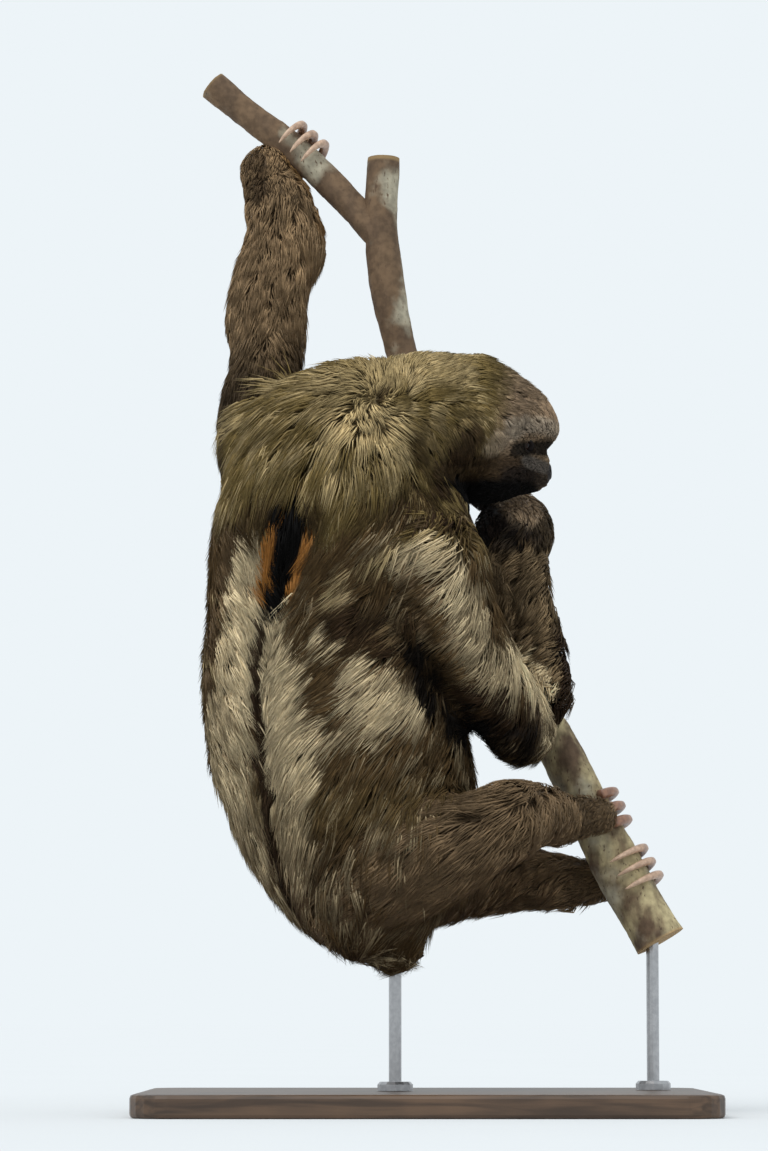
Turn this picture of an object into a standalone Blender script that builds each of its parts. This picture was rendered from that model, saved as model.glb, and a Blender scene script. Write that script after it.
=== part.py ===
"""Brown-throated three-toed sloth, adult male, hanging by its left hand from a forked branch.

A still, life-size museum model: the animal is divided into the parts that a person would name,
each a closed solid out to the tips of its coat. The branch is one cut, forked length, held by two
short rods on a flat base. Units are metres, +Z is up, and the origin is the centre of the base's
underside. The animal's back is turned towards -Y and its face towards +X.
"""

import math

import bmesh
import bpy
import numpy as np

# ---------------------------------------------------------------- driving dimensions
GAP = 0.0004  # clearance left where two solids meet
TRUNK_SIDES = 18  # facets round the body
LIMB_SIDES = 12  # facets round a leg or an arm
WOOD_SIDES = 10  # facets round the branch
CLAW_SIDES = 6  # facets round a claw

BASE_WIDTH, BASE_DEPTH, BASE_THICK = 0.450, 0.360, 0.018
BASE_CORNER = 0.030  # radius of the base's corners
BASE_EDGE = 0.003  # bevel along the base's edges
ROD_RADIUS = 0.005
COLLAR_RADIUS, COLLAR_HEIGHT = 0.014, 0.007
ROD_GRIP = 0.026  # length of each rod that is sunk into what it holds

HEAD_CENTRE = np.array([0.048, 0.004, 0.5424])
HEAD_HALF_WIDTH = 0.0500  # from the middle to the coat over a cheek
MUZZLE_ANGLE = -31.0  # degrees from straight ahead, negative below
EYE_ANGLE, EYE_SIDE = -20.5, 31.5  # degrees below straight ahead, and to the side
EYE_RADIUS = 0.0056
EYE_PROUD = 0.0012  # how far the eye stands out of the coat round it

CLAW_WIDTH = 0.0042  # half width of a claw at its root
CLAW_SPACING = 0.0125

# Half the outline of the head from the side: degrees from straight ahead, distance to the coat.
HEAD_OUTLINE = {
    "brow": (2, 0.0600),
    "forehead": (26, 0.0558),
    "hairline": (50, 0.0545),
    "crown": (86, 0.0605),
    "nape": (135, 0.0560),
    "back": (180, 0.0500),
    "ruff": (228, 0.0600),
    "throat": (250, 0.0580),
    "jaw": (285, 0.0558),
    "chin": (309, 0.0560),
    "lip": (328, 0.0520),
    "nose_bridge": (345, 0.0500),
}
# Soft forms on the head, alike on both sides: height, degrees above straight ahead and their spread,
# degrees to the side and their spread.
HEAD_FORMS = {
    "muzzle": (0.0112, MUZZLE_ANGLE - 3, 11, 0, 13),
    "nose_dip": (-0.0024, -15, 5, 0, 16),
    "eye_hollow": (-0.0090, EYE_ANGLE + 1, 12, EYE_SIDE, 13),
    "cheek": (0.0020, -62, 20, 38, 16),
}


# ---------------------------------------------------------------- curves and meshes
def smooth_rows(knots, steps):
    """Catmull-Rom rows through the knots, `steps` to each span, ends included."""
    k = np.array(knots, float)
    k = np.vstack([2 * k[0] - k[1], k, 2 * k[-1] - k[-2]])
    t = np.arange(steps)[:, None] / steps
    rows = [
        0.5 * (2 * b + (c - a) * t + (2 * a - 5 * b + 4 * c - d) * t**2 + (3 * b - a - 3 * c + d) * t**3)
        for a, b, c, d in zip(k[:-3], k[1:-2], k[2:-1], k[3:])
    ]
    return np.vstack([*rows, k[-2:-1]])


def unit(vectors):
    return vectors / np.linalg.norm(vectors, axis=-1, keepdims=True)


def mesh_object(name, points, faces, material):
    mesh = bpy.data.meshes.new(name)
    mesh.from_pydata([tuple(p) for p in points], [], faces)
    work = bmesh.new()
    work.from_mesh(mesh)
    bmesh.ops.recalc_face_normals(work, faces=work.faces)
    work.to_mesh(mesh)
    work.free()
    mesh.shade_smooth()
    mesh.set_sharp_from_angle(angle=math.radians(50))
    mesh.materials.append(material)
    obj = bpy.data.objects.new(name, mesh)
    bpy.context.scene.collection.objects.link(obj)
    return obj


def closed_rings(rings, first_pole, last_pole):
    """Points and faces of a closed surface: rings of equal length, with a point at each end."""
    count, sides = rings.shape[:2]
    points = np.vstack([rings.reshape(-1, 3), first_pole, last_pole])
    faces = []
    for i in range(count - 1):
        for j in range(sides):
            a, b = i * sides + j, i * sides + (j + 1) % sides
            faces.append((a, b, b + sides, a + sides))
    first, last = count * sides, count * sides + 1
    for j in range(sides):
        nxt = (j + 1) % sides
        faces.append((first, nxt, j))
        faces.append((last, (count - 1) * sides + j, (count - 1) * sides + nxt))
    return points, faces


def loft(name, material, knots, sides=LIMB_SIDES, steps=2, across=(0, 1, 0), domes=(0.8, 0.8), wobble=None):
    """A tube along the knots. Each knot is x, y, z and its half size along `across` and square to it.

    `domes` are the heights of the rounded ends as shares of the end's size; 0 leaves a flat cut end.
    `wobble` gives a factor on the size from the distance along the tube and the angle round it.
    """
    rows = smooth_rows(knots, steps)
    centres, sizes = rows[:, :3], rows[:, 3:5]
    ahead = unit(np.gradient(centres, axis=0))
    side = unit(np.array(across, float) - ahead * (ahead @ np.array(across, float))[:, None])
    other = np.cross(ahead, side)
    for end, dome in ((0, domes[0]), (-1, domes[1])):
        if not dome:
            continue
        out = ahead[end] * (1 if end else -1)
        height = dome * sizes[end].mean()
        tilt = np.radians([32, 62])
        extra_c = centres[end] + out * height * np.sin(tilt)[:, None]
        extra_s = sizes[end] * np.cos(tilt)[:, None]
        if end:
            centres, sizes = np.vstack([centres, extra_c]), np.vstack([sizes, extra_s])
            side, other = (np.vstack([v, v[-1:], v[-1:]]) for v in (side, other))
        else:
            centres = np.vstack([extra_c[::-1], centres])
            sizes = np.vstack([extra_s[::-1], sizes])
            side, other = (np.vstack([v[:1], v[:1], v]) for v in (side, other))
    turn = np.arange(sides) * 2 * math.pi / sides
    size = sizes[:, :, None] * np.array([np.cos(turn), np.sin(turn)])[None]
    if wobble:
        along = np.concatenate([[0], np.cumsum(np.linalg.norm(np.diff(centres, axis=0), axis=1))])
        size = size * wobble(along[:, None], turn[None])[:, None]
    rings = centres[:, None] + size[:, 0, :, None] * side[:, None] + size[:, 1, :, None] * other[:, None]
    poles = [centres[0], centres[-1]]
    for n, (end, dome, row) in enumerate(((0, domes[0], rows[0]), (-1, domes[1], rows[-1]))):
        if dome:
            poles[n] = row[:3] + ahead[end] * (1 if end else -1) * dome * row[3:5].mean()
    return mesh_object(name, *closed_rings(rings, *poles), material)


# ---------------------------------------------------------------- fitting solids to each other
def grown(obj):
    """A hidden copy of the object, larger all over by the clearance, that cuts its neighbours."""
    name = "cut_" + obj.name
    if name in bpy.data.objects:
        return bpy.data.objects[name]
    mesh = obj.data.copy()
    points = np.array([v.co for v in mesh.vertices])
    normals = np.array([v.normal for v in mesh.vertices])
    mesh.vertices.foreach_set("co", (points + normals * GAP).ravel())
    cutter = bpy.data.objects.new(name, mesh)
    cutter.hide_render = True
    cutter.display_type = "WIRE"
    bpy.context.scene.collection.objects.link(cutter)
    return cutter


def carve(piece, *neighbours):
    """Cuts the room that each neighbour takes out of the piece, with the clearance round it."""
    for neighbour in neighbours:
        cut = piece.modifiers.new("room_for_" + neighbour.name, "BOOLEAN")
        cut.operation = "DIFFERENCE"
        cut.solver = "EXACT"
        cut.object = grown(neighbour)


# ---------------------------------------------------------------- materials
def material(name, colour, roughness, metallic=0.0):
    made = bpy.data.materials.new(name)
    made.use_nodes = True
    shader = made.node_tree.nodes["Principled BSDF"]
    shader.inputs["Base Color"].default_value = (*colour, 1.0)
    shader.inputs["Roughness"].default_value = roughness
    shader.inputs["Metallic"].default_value = metallic
    return made


# ---------------------------------------------------------------- the animal
def bump(value, centre, spread):
    return np.exp(-0.5 * ((value - centre) / spread) ** 2)


def head_reach(ahead, left, up):
    """Distance from the head's centre to its coat, in a direction given as a unit vector.

    The outline from the side is a smooth closed curve. Each slice through the sideways axis is an
    ellipse. The head's soft forms are added to it.
    """
    down_up = np.degrees(np.arctan2(up, ahead))
    aside = np.degrees(np.arcsin(np.clip(left, -1, 1)))
    marks = np.array(sorted(HEAD_OUTLINE.values()))
    turns = np.concatenate([marks[:, 0] - 360, marks[:, 0], marks[:, 0] + 360])
    reach = np.tile(marks[:, 1], 3)
    fine = np.linspace(-360, 720, 1081)
    curve = np.interp(fine, turns, reach)
    soft = np.exp(-0.5 * (np.arange(-21, 22) / 7.0) ** 2)
    curve = np.convolve(curve, soft / soft.sum(), "same")
    outline = np.interp(down_up % 360, fine, curve)
    reach = 1 / np.sqrt((np.cos(np.radians(aside)) / outline) ** 2 + (left / HEAD_HALF_WIDTH) ** 2)
    for height, above, tall, beside, wide in HEAD_FORMS.values():
        reach = reach + height * bump(down_up, above, tall) * bump(abs(aside), beside, wide)
    return reach


def head_point(down_up, aside, lift=0.0):
    """The point on the head's coat at these angles in degrees, moved out by `lift`."""
    t, s = math.radians(down_up), math.radians(aside)
    way = np.array([math.cos(s) * math.cos(t), math.sin(s), math.cos(s) * math.sin(t)])
    return HEAD_CENTRE + way * (head_reach(*way) + lift)


def make_head(coat):
    """Rings round the muzzle, closest together on the face."""
    rings, sides = 18, 20
    spread = (np.arange(1, rings + 1) / (rings + 1)) ** 1.12 * math.pi
    turn = np.arange(sides) * 2 * math.pi / sides
    along, aside, over = np.cos(spread), np.sin(spread), np.ones(sides)
    ahead = along[:, None] * over
    left = aside[:, None] * np.cos(turn)
    up = aside[:, None] * np.sin(turn)
    tilt = math.radians(MUZZLE_ANGLE)
    pole = np.array([math.cos(tilt), 0, math.sin(tilt)])
    ahead, up = ahead * math.cos(tilt) - up * math.sin(tilt), ahead * math.sin(tilt) + up * math.cos(tilt)
    way = np.stack([ahead, left, up], axis=-1)
    grid = HEAD_CENTRE + way * head_reach(ahead, left, up)[..., None]
    ends = [HEAD_CENTRE + s * pole * head_reach(*(s * pole)) for s in (1, -1)]
    return mesh_object("head", *closed_rings(grid, *ends), coat)


def make_eye(name, aside, dark):
    """A ball that sits in the head with a little of it showing."""
    centre = head_point(EYE_ANGLE, aside, EYE_PROUD - EYE_RADIUS)
    knots = [
        (*(centre + np.array([0, 0, -EYE_RADIUS * math.cos(a)])), *([EYE_RADIUS * math.sin(a)] * 2))
        for a in np.radians(np.arange(30, 151, 30))
    ]
    return loft(name, dark, knots, sides=9, steps=1, domes=(0.27, 0.27))


TORSO = [  # centre, half width, half depth, from the top of the shoulders to the rump
    (-0.056, 0.002, 0.586, 0.036, 0.038),
    (-0.067, 0.000, 0.560, 0.064, 0.058),
    (-0.069, -0.002, 0.520, 0.089, 0.075),
    (-0.068, -0.003, 0.480, 0.102, 0.080),
    (-0.0720, -0.002, 0.440, 0.1040, 0.083),
    (-0.0788, 0.000, 0.392, 0.0988, 0.086),
    (-0.0768, 0.002, 0.328, 0.1000, 0.090),
    (-0.0660, 0.003, 0.280, 0.1040, 0.093),
    (-0.0510, 0.002, 0.232, 0.1000, 0.090),
    (-0.0400, 0.000, 0.186, 0.0840, 0.079),
    (-0.0320, -0.002, 0.156, 0.0620, 0.062),
    (-0.0240, -0.003, 0.134, 0.0330, 0.038),
]
NECK = [
    (-0.078, -0.002, 0.524, 0.062, 0.062),
    (-0.042, 0.000, 0.541, 0.0620, 0.0660),
    (-0.004, 0.002, 0.547, 0.0570, 0.0615),
    (0.024, 0.004, 0.548, 0.0500, 0.0540),
]
TAIL = [
    (-0.0850, -0.028, 0.176, 0.0170, 0.0170),
    (-0.0740, -0.036, 0.153, 0.0165, 0.0165),
    (-0.0560, -0.037, 0.134, 0.0145, 0.0145),
]
# Limbs, from the body outwards. The left hand holds the high branch, and all else holds the stem.
LIMBS = {
    "upper_arm_L": [
        (-0.110, 0.010, 0.468, 0.045, 0.0520),
        (-0.1265, 0.028, 0.520, 0.037, 0.0410),
        (-0.1310, 0.050, 0.575, 0.034, 0.0345),
        (-0.1295, 0.070, 0.618, 0.0318, 0.0322),
    ],
    "forearm_L": [
        (-0.1285, 0.074, 0.626, 0.0342, 0.0345),
        (-0.1245, 0.088, 0.660, 0.033, 0.0335),
        (-0.1160, 0.099, 0.700, 0.032, 0.0335),
        (-0.1120, 0.107, 0.737, 0.0290, 0.0300),
    ],
    "hand_L": [
        (-0.1165, 0.111, 0.7450, 0.0312, 0.0322),
        (-0.1270, 0.132, 0.7720, 0.0270, 0.0275),
        (-0.1160, 0.149, 0.7930, 0.0200, 0.0235),
        (-0.1010, 0.150, 0.8070, 0.0150, 0.0200),
    ],
    "upper_arm_R": [
        (-0.040, -0.020, 0.452, 0.046, 0.050),
        (-0.004, -0.047, 0.438, 0.042, 0.044),
        (0.024, -0.052, 0.392, 0.036, 0.0365),
        (0.051, -0.036, 0.340, 0.033, 0.0330),
        (0.080, -0.013, 0.298, 0.031, 0.0310),
    ],
    "forearm_R": [
        (0.0870, 0.014, 0.332, 0.031, 0.0335),
        (0.0880, 0.024, 0.362, 0.031, 0.0325),
        (0.0775, 0.034, 0.408, 0.030, 0.0305),
        (0.0735, 0.044, 0.452, 0.0286, 0.0290),
    ],
    "hand_R": [
        (0.0745, 0.047, 0.4620, 0.0308, 0.0306),
        (0.0735, 0.070, 0.4860, 0.0240, 0.0250),
        (0.0570, 0.102, 0.5080, 0.0180, 0.0200),
        (0.0340, 0.116, 0.5170, 0.0135, 0.0180),
    ],
    "thigh_R": [
        (-0.058, -0.034, 0.186, 0.046, 0.048),
        (-0.014, -0.055, 0.194, 0.043, 0.046),
        (0.030, -0.072, 0.212, 0.037, 0.039),
        (0.056, -0.074, 0.226, 0.0330, 0.0335),
    ],
    "shin_R": [
        (0.0610, -0.068, 0.229, 0.0352, 0.0356),
        (0.0820, -0.040, 0.236, 0.029, 0.0300),
        (0.0980, -0.012, 0.236, 0.026, 0.0265),
        (0.1060, 0.010, 0.233, 0.0226, 0.0230),
    ],
    "foot_R": [
        (0.1070, 0.012, 0.2330, 0.0242, 0.0246),
        (0.1180, 0.020, 0.2350, 0.0175, 0.0220),
        (0.1330, 0.028, 0.2370, 0.0130, 0.0205),
        (0.1480, 0.034, 0.2380, 0.0105, 0.0190),
    ],
    "thigh_L": [
        (-0.050, 0.040, 0.182, 0.046, 0.046),
        (-0.010, 0.070, 0.186, 0.042, 0.043),
        (0.026, 0.098, 0.190, 0.037, 0.037),
        (0.048, 0.112, 0.192, 0.0330, 0.0330),
    ],
    "shin_L": [
        (0.0540, 0.113, 0.192, 0.0352, 0.0352),
        (0.0800, 0.112, 0.190, 0.029, 0.0295),
        (0.1030, 0.105, 0.188, 0.026, 0.0260),
        (0.1190, 0.099, 0.186, 0.0226, 0.0228),
    ],
    "foot_L": [
        (0.1210, 0.098, 0.1860, 0.0242, 0.0244),
        (0.1380, 0.097, 0.1870, 0.0175, 0.0215),
        (0.1530, 0.092, 0.1880, 0.0135, 0.0200),
        (0.1680, 0.085, 0.1890, 0.0110, 0.0185),
    ],
}
ALSO_MEETS = {  # neighbours of a limb other than the piece that it grows from
    "upper_arm_L": ["torso", "neck"],
    "forearm_L": ["side_branch"],
    "hand_L": ["side_branch"],
    "upper_arm_R": ["torso", "neck", "head"],
    "forearm_R": ["torso", "branch"],
    "hand_R": ["branch", "head", "neck"],
    "thigh_R": ["torso", "tail"],
    "foot_R": ["branch"],
    "thigh_L": ["torso"],
    "foot_L": ["branch", "foot_R"],
}
GROWS_FROM = {"forearm": "upper_arm", "hand": "forearm", "shin": "thigh", "foot": "shin"}
LIMB_COATS = {
    "upper_arm": "arm", "forearm": "arm", "hand": "dark",
    "thigh": "trunk", "shin": "trunk", "foot": "dark",
}
COAT_COLOURS = {
    "face": (0.120, 0.095, 0.065),
    "olive": (0.188, 0.141, 0.065),
    "trunk": (0.150, 0.118, 0.076),
    "arm": (0.114, 0.080, 0.048),
    "dark": (0.040, 0.030, 0.020),
}

# ---------------------------------------------------------------- the branch and its stand
STEM = [  # centre and radius, from the sawn top of the stem to its sawn foot
    (-0.0330, 0.104, 0.7880, 0.0125),
    (-0.0350, 0.102, 0.7300, 0.0140),
    (-0.0290, 0.101, 0.6720, 0.0138),
    (-0.0140, 0.099, 0.6080, 0.0138),
    (0.0034, 0.096, 0.5440, 0.0140),
    (0.0256, 0.091, 0.4800, 0.0142),
    (0.0540, 0.084, 0.4080, 0.0148),
    (0.0816, 0.077, 0.3440, 0.0158),
    (0.1080, 0.070, 0.2960, 0.0170),
    (0.1420, 0.061, 0.2240, 0.0188),
    (0.1720, 0.053, 0.1680, 0.0206),
    (0.1900, 0.049, 0.1360, 0.0216),
]
SIDE_BRANCH = [  # from inside the fork up to its sawn end
    (-0.0340, 0.102, 0.7180, 0.0120),
    (-0.0680, 0.110, 0.7580, 0.0122),
    (-0.1050, 0.118, 0.7960, 0.0122),
    (-0.1440, 0.124, 0.8270, 0.0124),
    (-0.1780, 0.127, 0.8560, 0.0128),
]
BARK_SWELLING = 0.035  # share of the radius by which the wood swells along its length
BARK_WAVES = 61  # radians of that swelling in each metre
BARK_LOBES = 0.03  # share of the radius by which the section is oval
BARK_KNOTS = 0.02  # and three-sided


def bark(along, turn):
    """Slow swelling along the wood and a slightly lobed section."""
    swelling = BARK_SWELLING * np.sin(along * BARK_WAVES + 1.3)
    lobes = BARK_LOBES * np.sin(2 * turn + along * 23) + BARK_KNOTS * np.sin(3 * turn - along * 41)
    return 1 + swelling + lobes


def make_branch(wood):
    """The stem joined to its side branch and sawn square at three ends, and the hidden side branch."""
    stem = loft("branch", wood, [(*k, k[3]) for k in STEM], WOOD_SIDES, domes=(0, 0), wobble=bark)
    knots = [(*k, k[3]) for k in SIDE_BRANCH]
    arm = loft("side_branch", wood, knots, WOOD_SIDES, domes=(0.5, 0), wobble=bark)
    arm.hide_render = True
    arm.display_type = "WIRE"
    joined = stem.modifiers.new("side_branch", "BOOLEAN")
    joined.operation = "UNION"
    joined.solver = "EXACT"
    joined.object = arm
    return stem, arm


def place_on(rows, height):
    """Centre and direction of the wood where it passes this height."""
    fine = smooth_rows(rows, 12)
    near = int(np.argmin(abs(fine[:, 2] - height)))
    ahead = unit(np.gradient(fine[:, :3], axis=0))[near]
    return fine[near, :3], ahead, fine[near, 3]


CLAW_BEND = 0.10  # share by which a claw's hook draws in towards its tip
CLAW_TAPER = 0.80  # and by which the claw grows thinner
CLAWS = {  # wood, height of the middle claw, where it starts round the wood, sweep in degrees, radius
    "hand_L": (SIDE_BRANCH, 0.7970, (0.00, 1.00, -0.10), 205, 0.0205),
    "hand_R": (STEM, 0.5160, (0.60, 0.80, 0.00), 190, 0.0215),
    "foot_R": (STEM, 0.2380, (0.50, -0.87, 0.00), 190, 0.0255),
    "foot_L": (STEM, 0.1890, (0.35, 0.94, 0.00), 175, 0.0265),
}
CLAW_TURNS = {"hand_L": -1, "hand_R": -1, "foot_R": -1, "foot_L": 1}


def make_claw(name, limb, order, horn):
    """One hooked claw round the wood: an arc square to it, thick at the root and pointed at the tip."""
    wood, height, palm, sweep, hook = CLAWS[limb]
    centre, ahead, _ = place_on(wood, height)
    start = unit(np.array(palm, float) - ahead * (ahead @ np.array(palm, float)))
    round_ = np.cross(ahead, start) * CLAW_TURNS[limb]
    centre = centre + ahead * CLAW_SPACING * order
    share = np.linspace(0, 1, 8)
    angle = np.radians(share * sweep)
    reach = hook * (1 - CLAW_BEND * share)
    line = centre + reach[:, None] * (np.cos(angle)[:, None] * start + np.sin(angle)[:, None] * round_)
    thick = CLAW_WIDTH * (1 - CLAW_TAPER * share**1.5)
    knots = [(*p, 0.85 * t, t) for p, t in zip(line, thick)]
    return loft(name, horn, knots, CLAW_SIDES, 1, across=tuple(ahead), domes=(0.5, 1.2))


def make_base(board):
    """A flat board with round corners and a fine bevel."""
    mesh = bpy.data.meshes.new("stand_base")
    work = bmesh.new()
    corners = []
    for sx, sy, first in ((1, 1, 0), (-1, 1, 90), (-1, -1, 180), (1, -1, 270)):
        cx, cy = sx * (BASE_WIDTH / 2 - BASE_CORNER), sy * (BASE_DEPTH / 2 - BASE_CORNER)
        for step in range(6):
            a = math.radians(first + 18 * step)
            x, y = cx + BASE_CORNER * math.cos(a), cy + BASE_CORNER * math.sin(a)
            corners.append(work.verts.new((x, y, 0)))
    floor = work.faces.new(corners)
    lifted = bmesh.ops.extrude_face_region(work, geom=[floor])
    for v in (g for g in lifted["geom"] if isinstance(g, bmesh.types.BMVert)):
        v.co.z = BASE_THICK
    bmesh.ops.recalc_face_normals(work, faces=work.faces)
    rims = [e for e in work.edges if e.verts[0].co.z == e.verts[1].co.z]
    bmesh.ops.bevel(work, geom=rims, offset=BASE_EDGE, segments=2, profile=0.5, affect="EDGES")
    work.to_mesh(mesh)
    work.free()
    mesh.materials.append(board)
    obj = bpy.data.objects.new("stand_base", mesh)
    bpy.context.scene.collection.objects.link(obj)
    return obj


def make_rod(name, x, y, top, steel):
    """An upright steel rod with a low collar at its foot, standing on the base."""
    foot = BASE_THICK + GAP
    rows = [
        (foot, COLLAR_RADIUS),
        (foot + COLLAR_HEIGHT * 0.7, COLLAR_RADIUS),
        (foot + COLLAR_HEIGHT, COLLAR_RADIUS * 0.86),
        (foot + COLLAR_HEIGHT, ROD_RADIUS),
        (top - 0.001, ROD_RADIUS),
        (top, ROD_RADIUS * 0.8),
    ]
    turn = np.arange(12) * math.pi / 6
    rings = np.array([[(x + r * math.cos(a), y + r * math.sin(a), z) for a in turn] for z, r in rows])
    return mesh_object(name, *closed_rings(rings, (x, y, foot), (x, y, top)), steel)


# ---------------------------------------------------------------- the whole
def main():
    for obj in list(bpy.data.objects):
        bpy.data.objects.remove(obj)
    coats = {name: material("coat_" + name, colour, 0.9) for name, colour in COAT_COLOURS.items()}
    horn = material("claw_horn", (0.50, 0.38, 0.24), 0.45)
    dark = material("eye", (0.010, 0.006, 0.004), 0.08)
    bark_wood = material("branch_bark", (0.23, 0.19, 0.15), 0.85)
    board = material("stand_board", (0.085, 0.065, 0.050), 0.45)
    steel = material("stand_steel", (0.36, 0.36, 0.37), 0.35, 1.0)

    made = {"head": make_head(coats["face"])}
    made["branch"], made["side_branch"] = make_branch(bark_wood)
    for name, aside in (("eye_R", -EYE_SIDE), ("eye_L", EYE_SIDE)):
        made[name] = make_eye(name, aside, dark)
        carve(made["head"], made[name])
    made["torso"] = loft("torso", coats["trunk"], TORSO, TRUNK_SIDES, across=(1, 0, 0), domes=(0.35, 0.42))
    made["neck"] = loft("neck", coats["olive"], NECK, TRUNK_SIDES)
    made["tail"] = loft("tail", coats["trunk"], TAIL)
    carve(made["torso"], made["head"])
    carve(made["neck"], made["head"], made["torso"])
    carve(made["tail"], made["torso"])

    for name, knots in LIMBS.items():
        across = (1, 0, 0) if name == "hand_L" else (0, 1, 0)
        if name.startswith(("shin", "foot", "hand_R")):
            across = (0, 0, 1)
            knots = [(*k[:3], k[4], k[3]) for k in knots]
        part, side = name.rsplit("_", 1)
        made[name] = loft(name, coats[LIMB_COATS[part]], knots, across=across)
        near = [GROWS_FROM[part] + "_" + side] if part in GROWS_FROM else []
        carve(made[name], *(made[n] for n in near + ALSO_MEETS.get(name, [])))

    for limb in CLAWS:
        for number, order in enumerate((-1, 0, 1), 1):
            name = f"claw_{limb}_{number}"
            made[name] = make_claw(name, limb, order, horn)
            carve(made[name], made[limb], made["side_branch" if limb == "hand_L" else "branch"])

    made["stand_base"] = make_base(board)
    stem_foot = smooth_rows(STEM, 12)[-6]
    rod_places = {
        "stand_rod_stem": (stem_foot[0], stem_foot[1], stem_foot[2] + ROD_GRIP * 0.4, "branch"),
        "stand_rod_body": (TORSO[-1][0], TORSO[-1][1], TORSO[-1][2] + ROD_GRIP * 0.6, "torso"),
    }
    for name, (x, y, top, held) in rod_places.items():
        made[name] = make_rod(name, x, y, top, steel)
        carve(made[held], made[name])


main()
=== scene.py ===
"""Looks of a life-size three-toed sloth that hangs by its left hand from a cut, forked branch.

One skin lies inside the flesh nodes by the depth of the coat, and the coat is solid tufts over it.
Eyes, claws, branch, board and rods are pieces of their own. Everything is in metres, +Z is up, the
back is turned towards -Y and the face towards +X.
"""

import math
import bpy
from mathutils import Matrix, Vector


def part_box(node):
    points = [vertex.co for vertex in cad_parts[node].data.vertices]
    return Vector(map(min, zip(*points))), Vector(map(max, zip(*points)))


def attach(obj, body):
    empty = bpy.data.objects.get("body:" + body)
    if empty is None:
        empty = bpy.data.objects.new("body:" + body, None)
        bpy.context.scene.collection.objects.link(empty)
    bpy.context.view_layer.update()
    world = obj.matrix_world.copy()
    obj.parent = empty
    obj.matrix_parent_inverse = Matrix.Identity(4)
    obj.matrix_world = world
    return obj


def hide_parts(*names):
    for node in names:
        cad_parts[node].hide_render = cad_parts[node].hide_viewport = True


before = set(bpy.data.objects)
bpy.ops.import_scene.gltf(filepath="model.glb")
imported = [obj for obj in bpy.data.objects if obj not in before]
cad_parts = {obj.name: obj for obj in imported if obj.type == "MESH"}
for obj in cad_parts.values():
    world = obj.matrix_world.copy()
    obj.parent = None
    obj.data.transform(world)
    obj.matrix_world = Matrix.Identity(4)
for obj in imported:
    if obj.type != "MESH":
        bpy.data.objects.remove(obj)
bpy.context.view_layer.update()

from copy import copy

import bmesh
import bpy
import numpy as np
from bpy.props import FloatProperty, FloatVectorProperty, IntProperty, PointerProperty
from mathutils import Matrix, Vector
from mathutils.bvhtree import BVHTree
from mathutils.kdtree import KDTree

bl_info = {
    "name": "Hanging three-toed sloth",
    "version": (1, 0, 0),
    "blender": (4, 5, 0),
    "location": "View3D > Sidebar > Sloth",
    "description": "Builds a sloth's skin, coat, eyes and claws, with its branch and stand",
    "category": "Object",
}

SEED = 7
ARM_PARTS, LEG_PARTS = ("upper_arm", "forearm", "hand"), ("thigh", "shin", "foot")
LIMB_NODES = [f"{part}_{side}" for side in "LR" for part in ARM_PARTS + LEG_PARTS]
FLESH = ["head", "neck", "torso", "tail", *LIMB_NODES]
# The next node nearer the trunk. The others join the trunk itself.
PARENT = {"hand": "forearm", "forearm": "upper_arm", "foot": "shin", "shin": "thigh"}


def linear(red, green, blue):
    """A colour given as 0 to 255 on a display, as linear light."""
    c = np.array([red, green, blue]) / 255
    return np.where(c <= 0.04045, c / 12.92, ((c + 0.055) / 1.055) ** 2.4)


# ------------------------------------------------------------------------------- what a user sets
def colour(name, description, rgb):
    """A colour to set, whose default is given as on a display."""
    return FloatVectorProperty(
        name=name, description=description, subtype="COLOR", size=3, min=0, max=1, default=tuple(linear(*rgb))
    )


def length(name, description, default):
    """A length to set, in metres."""
    return FloatProperty(
        name=name, description=description, unit="LENGTH", precision=4, min=0, default=default
    )


class SlothCoat(bpy.types.PropertyGroup):
    """Colours and sizes of the coat."""

    olive: colour("Olive", "Shoulders, nape and crown, tinted by algae", (120, 101, 60))
    straw: colour("Straw", "Bleached tufts among the olive", (186, 163, 118))
    # grey brown, with straw, is also laid as painted light along the back's left edge
    grey_brown: colour("Grey brown", "Raised arm and legs", (116, 95, 70))
    flank: colour("Flank", "Brown of the sides", (86, 67, 42))
    cream: colour("Cream", "Bands beside the back's stripe, and patches on the near arm", (204, 184, 147))
    # dark brown is also laid as painted shade under the cape's edge and under the near arm, and as painted
    # shadow along the cheek
    dark: colour("Dark brown", "Stripe down the back, and streaks", (48, 33, 19))
    forearm: colour("Forearm", "Mottled forearm that is folded up", (108, 90, 66))
    hand: colour("Hand", "Near-black fur of the folded arm's hand", (36, 29, 25))
    orange: colour("Orange", "Edges of the patch between the shoulders", (172, 114, 54))
    ruff: colour("Ruff", "Hair round the cheeks", (104, 88, 62))
    tan: colour("Tan", "Inner side of the raised wrist", (150, 114, 72))
    # black is also laid as painted shade beside and under the near arm, and partly as painted shade on the
    # throat
    black: colour("Black", "Slit in the patch, and the throat", (9, 7, 6))
    # brow and face are also laid, lighter, as a painted highlight on the folded hand's top
    brow: colour("Brow", "Pale band over the eyes", (164, 148, 128))
    face: colour("Face", "Rest of the face", (141, 119, 95))
    muzzle: colour("Muzzle", "Grey fur on top of the muzzle", (104, 96, 88))
    tufts: IntProperty(
        name="Tufts", description="Tufts in each piece of the coat", default=18500, min=100, max=19900
    )
    width: length("Tuft width", "Width of a body tuft at its middle", 0.00135)
    clump: length("Clump", "Distance between the middles of the clumps that tufts gather in", 0.0075)


class SlothHorn(bpy.types.PropertyGroup):
    """Colours and sizes of claws and eyes."""

    claw_root: colour("Claw root", "Horn where it leaves the fur", (142, 102, 80))
    claw_tip: colour("Claw tip", "Worn end of a claw", (200, 166, 140))
    iris: colour("Eye", "Brown of the eye", (34, 20, 13))
    claw_width: length("Claw width", "Half the width of a claw at its root", 0.0048)
    eye_radius: length("Eye radius", "Radius of the eyeball", 0.0056)


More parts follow.
